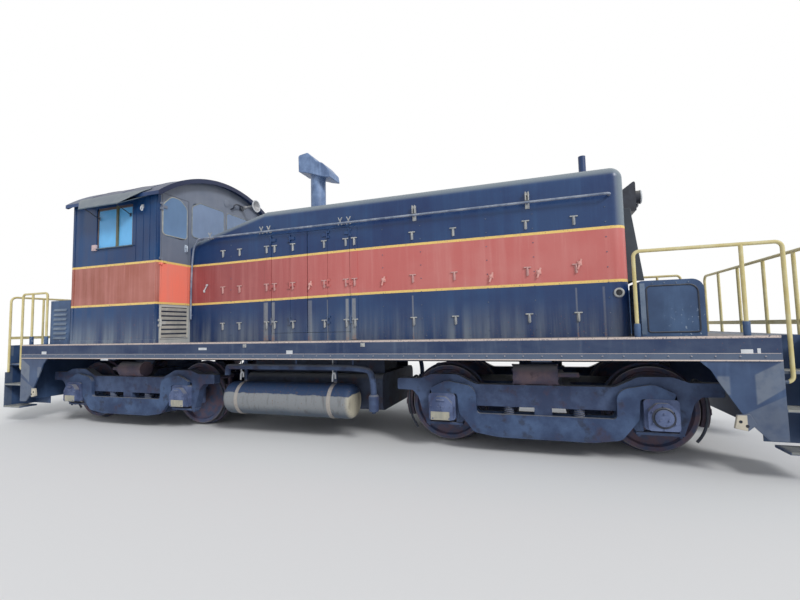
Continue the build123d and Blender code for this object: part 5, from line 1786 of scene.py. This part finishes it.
    def air_line(self) -> None:
        """Air pipe under each sill with its hangers and filter, and the dark plates that hang the fuel tank and
        also stand in as painted shade under the deck.
        """
        y, z, end = self.air_y, self.air_z, self.filter_x
        run = [(-1.21, y, 0.90), (-1.21, y, z), (-1.15, y, z), (0.0, y, z), (1.06, y, z), (end, y, z - 0.08),
               (end, y, 0.66)]
        parts = [self.pipe("line", run, self.air_r)]
        parts += [self.rod("hanger", (x, y, z), (x, y, 1.377), 0.012, 10, 0.002) for x in (-0.9, 0.0, 0.9)]
        bowl = [(0, 0.423), (0.027, 0.425), (0.030, 0.445), (0.060, 0.450), (0.068, 0.460), (0.068, 0.650),
                (0.055, 0.668), (0, 0.675)]
        parts.append(self.lathe("filter", bowl, (end, y, 0), Axis.Z, 28))
        self.fit_pair("air_lines", parts, TRUCK_IRON, "reservoir_paint")
        # Dark plate that hangs the tank and also stands in as painted shade under the deck.
        hanger = self.block("hanger plate", (-1.19, -0.60, 0.875), (1.12, -0.58, 1.15), 0.004)
        self.fit_pair("tank_hanger_shade_plates", [hanger], TANK_PAINT, "tank_paint")

    def couplings(self) -> None:
        """Knuckle pins and locks of the couplers."""
        x, y = self.pin_x, self.pin_y
        pin = self.rod("pin", (x, y, 0.75), (x, y, 1.075), 0.026, 20, 0.006)
        cap = self.rod("cap", (x, y, 1.06), (x, y, 1.085), 0.042, HEX, 0.006)
        lock = self.block("lock", (x - 0.26, -0.06, 1.03), (x - 0.12, 0.06, 1.06), 0.012)
        pins = self.join("pin", (pin, cap, lock))
        self.fit_copies("coupler_pins", pins, BOTH_ENDS, COUPLER_IRON, "coupler_iron")

    def boxes(self) -> None:
        """Lid rims and screws of the battery boxes, and the louvres of the rear cabinet."""
        x, y = self.battery_x, self.battery_y
        rim = self.loop("rim", [(u, y, v) for u, v in rounded(self.battery_lid)], 0.009)
        self.fit_pair("battery_box_rims", [rim], FITTING_DARK, "box_black")
        parts = [self.block("side strip", (x - 0.003, y - 0.004, 1.42), (x + 0.05, y + 0.001, 2.018), 0.002)]
        parts += [self.rod("screw", (u, y + 0.001, 2.015), (u, y - 0.008, 2.015), 0.008, HEX, 0.002)
                  for u in spaced(4.62, 0.12, 4)]
        self.fit_pair("battery_box_fittings", parts, BOX_TRIM, "box_black")
        slats = [self.block("slat", (-5.12, -1.287, z - 0.024), (-4.78, -1.281, z + 0.024), 0.002,
                            (-0.35, 0, 0))
                 for z in spaced(DECK_Z + 0.12, 0.085, 7)]
        self.fit(self.join("rear_cabinet_louvres", slats), "body", BOX_TRIM, "box_black")

    def reservoir_hooks(self) -> None:
        """Hooks and screws that hang the air tanks' straps."""
        top = self.tank_z + self.tank_r
        curl = [(-0.02, -0.01, 0.02), (-0.02, -0.01, 0.12), (0, 0, 0.15), (0.025, 0, 0.12), (0.02, 0, 0.06)]
        hooks, y = [], self.tank_y - 0.09
        for x in self.straps_x:
            hooks.append(self.pipe("hook", [(x + u, y + v, top + w) for u, v, w in curl], 0.012))
            hooks.append(self.rod("screw", (x - 0.02, y, top + 0.13), (x - 0.02, y, 1.17), 0.009, 10, 0.002))
        self.fit_pair("reservoir_hooks", hooks, PLATE_PALE, "reservoir_paint")

    def lamps(self) -> None:
        """Lenses, pale with a painted highlight, and rims of the headlights."""
        (front_x, front_z), (rear_x, rear_z) = self.front_lamp, self.rear_lamp
        places = [Matrix.Translation((front_x, y, front_z)) for y in self.lamps_y]
        places += [Matrix.Translation((rear_x, y, rear_z)) @ HALF_TURN for y in self.lamps_y]
        rim = [(0.070, 0.0), (0.094, 0.0), (0.097, 0.010), (0.092, 0.020), (0.078, 0.022), (0.072, 0.012)]
        ring = self.lathe("rim", rim, ORIGIN, Axis.X)
        self.fit_copies("headlight_rims", ring, places, PLATE_PALE, "lamp_black")
        # The lenses' pale colour: their silvered look, and a painted highlight.
        lens = [(0, 0.004), (0.074, 0.0), (0.076, 0.006), (0.05, 0.016), (0, 0.021)]
        glass = self.lathe("lens", lens, ORIGIN, Axis.X)
        self.fit_copies("headlight_lenses", glass, places, LENS_HIGHLIGHT, "window_glass")

    def build(self) -> None:
        """Builds the frame's looks."""
        self.paint_nodes()
        self.sill_trim()
        self.end_trim()
        self.tow_brackets()
        self.post_sockets()
        self.stack()
        self.air_line()
        self.couplings()
        self.boxes()
        self.reservoir_hooks()
        self.lamps()


@dataclass
class Truck(Assembly):
    """One four-wheel truck with drop equalizers; its pieces are drawn about its centre."""

    end: str
    centre_x: float = 3.353
    half_base: float = 1.219
    axle_z: float = 0.536
    tread_r: float = 0.508
    box_y: float = -1.328                 # face of the journal boxes
    cap_y: float = -1.355                 # face of the roller box's cap
    bar_y: float = -1.125                 # line of the springs and the brake cylinders
    springs_x: Row = (-0.40, 0.40)
    spring_high: float = 0.145
    spring_turns: int = 6
    cylinder_faces_x: Row = (-0.330, 0.180)
    cylinder_z: float = 0.958
    frame_top_z: float = 0.846            # the cylinders' bolts show above this

    def paint_nodes(self) -> None:
        """Paints the truck's nodes."""
        self.dress(TRUCK_IRON, f"{self.end}_truck_frame")
        self.dress(EQUALIZER_IRON, f"{self.end}_truck_equalizers")
        self.dress(BOX_IRON, f"{self.end}_truck_journal_boxes")
        self.dress(BRAKE_IRON, f"{self.end}_truck_brakes")
        for axle in ("outer", "inner"):
            name = f"{self.end}_{axle}_wheelset"
            low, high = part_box(name)
            steel = WheelSteel(f"{name}_steel", (low.x + high.x) / 2, (low.z + high.z) / 2, self.tread_r)
            self.dress(steel, name)

    def settle(self, name: str, pieces: Pieces, finish: Any, slot: str) -> None:
        """Mirrors pieces drawn on the right side of the truck and moves them to their end.

        Args:
            name: The piece's name after that of its end.
            pieces: What it is joined from.
            finish: Its finish.
            slot: Its material slot.
        """
        both = self.on_both_sides(name, self.join(name, pieces))
        place = Matrix.Translation((self.centre_x, 0, 0))
        if self.end == "rear":
            place = HALF_TURN @ place
        self.fit_copies(f"{self.end}_{name}", both, [place], finish, slot, f"{self.end}_truck")

    def roller_box(self, x: float) -> tuple[list[Piece], Piece]:
        """Roller bearing box.

        Args:
            x: Where its axle lies.

        Returns:
            Its bolts and cap, and the dark ring between them.
        """
        y, z = self.box_y, self.axle_z
        parts = [self.rod("bolt", (x + u, y, z + v), (x + u, y - 0.015, z + v), 0.011, HEX, 0.002)
                 for u, v in ring_of(0.124, 6, math.pi / 6)]
        parts += [self.rod("bolt", (x + u, self.cap_y, z + v), (x + u, self.cap_y - 0.015, z + v), 0.012, HEX,
                           0.003)
                  for u, v in ring_of(0.047, 3, math.pi / 2)]
        cap = [(0, 0.003), (0.090, 0.003), (0.090, -0.022), (0.080, -0.027), (0, -0.027)]
        parts.append(self.lathe("cap", cap, (x, y - 0.001, z), Axis.Y, 36))
        ring = [(0.088, 0.003), (0.111, 0.003), (0.114, -0.004), (0.104, -0.010), (0.090, -0.008)]
        return parts, self.lathe("ring", ring, (x, y - 0.003, z), Axis.Y, 36)

    def plain_box(self, x: float) -> tuple[list[Piece], Piece]:
        """Plain bearing box with a lid.

        Args:
            x: Where its axle lies.

        Returns:
            Its bolts, lid spring and star of ribs, and the pale plate below them.
        """
        y, z = self.box_y, self.axle_z
        parts = [self.rod("bolt", (x + u, y, z + v), (x + u, y - 0.015, z + v), 0.010, HEX, 0.002)
                 for u, v in ((-0.104, -0.118), (0.104, -0.118), (-0.126, 0.03), (0.126, 0.03))]
        lid_y, lid_z = y - 0.006, z + 0.105
        parts.append(self.rod("spring", (x - 0.05, lid_y, lid_z), (x + 0.05, lid_y, lid_z), 0.012, 12, 0.003))
        parts += [self.block("rib", (x - 0.05, y - 0.008, z + 0.012), (x + 0.05, y, z + 0.028), 0.003,
                             (0, turn, 0))
                  for turn in (0.0, math.pi / 3, -math.pi / 3)]
        plate = self.block("waste plate", (x - 0.13, y - 0.009, z - 0.138), (x + 0.11, y, z - 0.035), 0.004)
        return parts, plate

    def boxes(self) -> None:
        """Trim of the journal boxes; the leading axle runs in roller bearings."""
        bolts, plates, rings = [], [], []
        for x in (-self.half_base, self.half_base):
            leading = self.end == "front" and x > 0
            parts, other = self.roller_box(x) if leading else self.plain_box(x)
            bolts += parts
            (rings if leading else plates).append(other)
        self.settle("truck_box_bolts", bolts, BOX_IRON, "box_iron")
        if rings:
            self.settle("roller_box_rings", rings, FITTING_DARK, "box_iron")
        self.settle("truck_box_plates", plates, BOX_PALE, "box_iron")

    def pedestals(self) -> None:
        """Ties under the axle boxes with their nuts, and the wear plates beside the boxes."""
        z = self.axle_z
        parts = []
        for out in (-1, 1):
            x = out * self.half_base
            parts += [self.rod("nut", (x - out * u, y, z - 0.212), (x - out * u, y, z - 0.245), 0.019, HEX,
                               0.003)
                      for u in (-0.19, 0.215) for y in (-1.155, -1.095)]
            parts += [self.block("wear plate", (v - 0.012, -1.198, z - 0.15), (v + 0.012, -1.188, z + 0.15),
                                 0.003)
                      for v in (x - out * 0.20, x + out * 0.175)]
            low, high = sorted((x + out * 0.225, x - out * 0.25))
            parts.append(self.block("tie", (low, -1.188, z - 0.221), (high, -1.062, z - 0.190), 0.005))
        self.settle("truck_frame_nuts", parts, TRUCK_IRON, "truck_iron")

    def springs(self) -> None:
        """Coil springs between the equalizers and the frame, on their seats."""
        y, z, high = self.bar_y, self.axle_z, self.spring_high
        pitch = high / self.spring_turns
        profile = [(0, 0.0)]
        for low in spaced(0.0, pitch, self.spring_turns):
            profile += [(0.050, low), (0.062, low + 0.3 * pitch), (0.062, low + 0.7 * pitch)]
        profile += [(0.050, high), (0, high)]
        coils = []
        for x in self.springs_x:
            coils.append(self.lathe("coil", profile, (x, y, z - 0.115), Axis.Z, 24))
            coils.append(self.block("seat", (x - 0.09, y - 0.065, z - 0.135), (x + 0.09, y + 0.065, z - 0.112),
                                    0.004))
        self.settle("truck_springs", coils, TRUCK_IRON, "equalizer_iron")

    def sand_pipes(self) -> None:
        """Sand pipes that lead down behind the outer wheels' treads."""
        run = [(0.34, -1.10, 0.345), (0.38, -1.03, 0.40), (0.48, -1.00, 0.30), (0.55, -0.90, 0.02),
               (0.52, -0.84, -0.26), (0.44, -0.82, -0.36)]
        pipes = [self.pipe("sand pipe", [(out * (self.half_base + u), y, self.axle_z + w) for u, y, w in run],
                           0.016) for out in (-1, 1)]
        self.settle("truck_sand_pipes", pipes, FITTING_DARK, "truck_iron")

    def cylinder_bolts(self) -> None:
        """Bolts round the heads of the brake cylinders, where they stand clear of the frame."""
        spots = [(self.bar_y + u, self.cylinder_z + v) for u, v in ring_of(0.122, 8, 0.2)]
        bolts = [self.rod("bolt", (x - 0.014, y, z), (x + 0.014, y, z), 0.010, HEX, 0.002)
                 for x in self.cylinder_faces_x for y, z in spots if z > self.frame_top_z]
        self.settle("truck_cylinder_bolts", bolts, BRAKE_IRON, "brake_iron")

    def build(self) -> None:
        """Builds the truck's looks."""
        self.paint_nodes()
        self.boxes()
        self.pedestals()
        self.springs()
        self.sand_pipes()
        self.cylinder_bolts()


def main() -> None:
    """Loads the frame, builds every sub-assembly in order and sets up the studio."""
    logging.basicConfig(level=logging.INFO, format="%(message)s")
    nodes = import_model()["nodes"]
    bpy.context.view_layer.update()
    assemblies = (Studio(nodes), Hood(nodes), Cab(nodes), Frame(nodes), *(Truck(nodes, end) for end in ENDS))
    for assembly in assemblies:
        assembly.build()


if __name__ == "__main__":
    main()
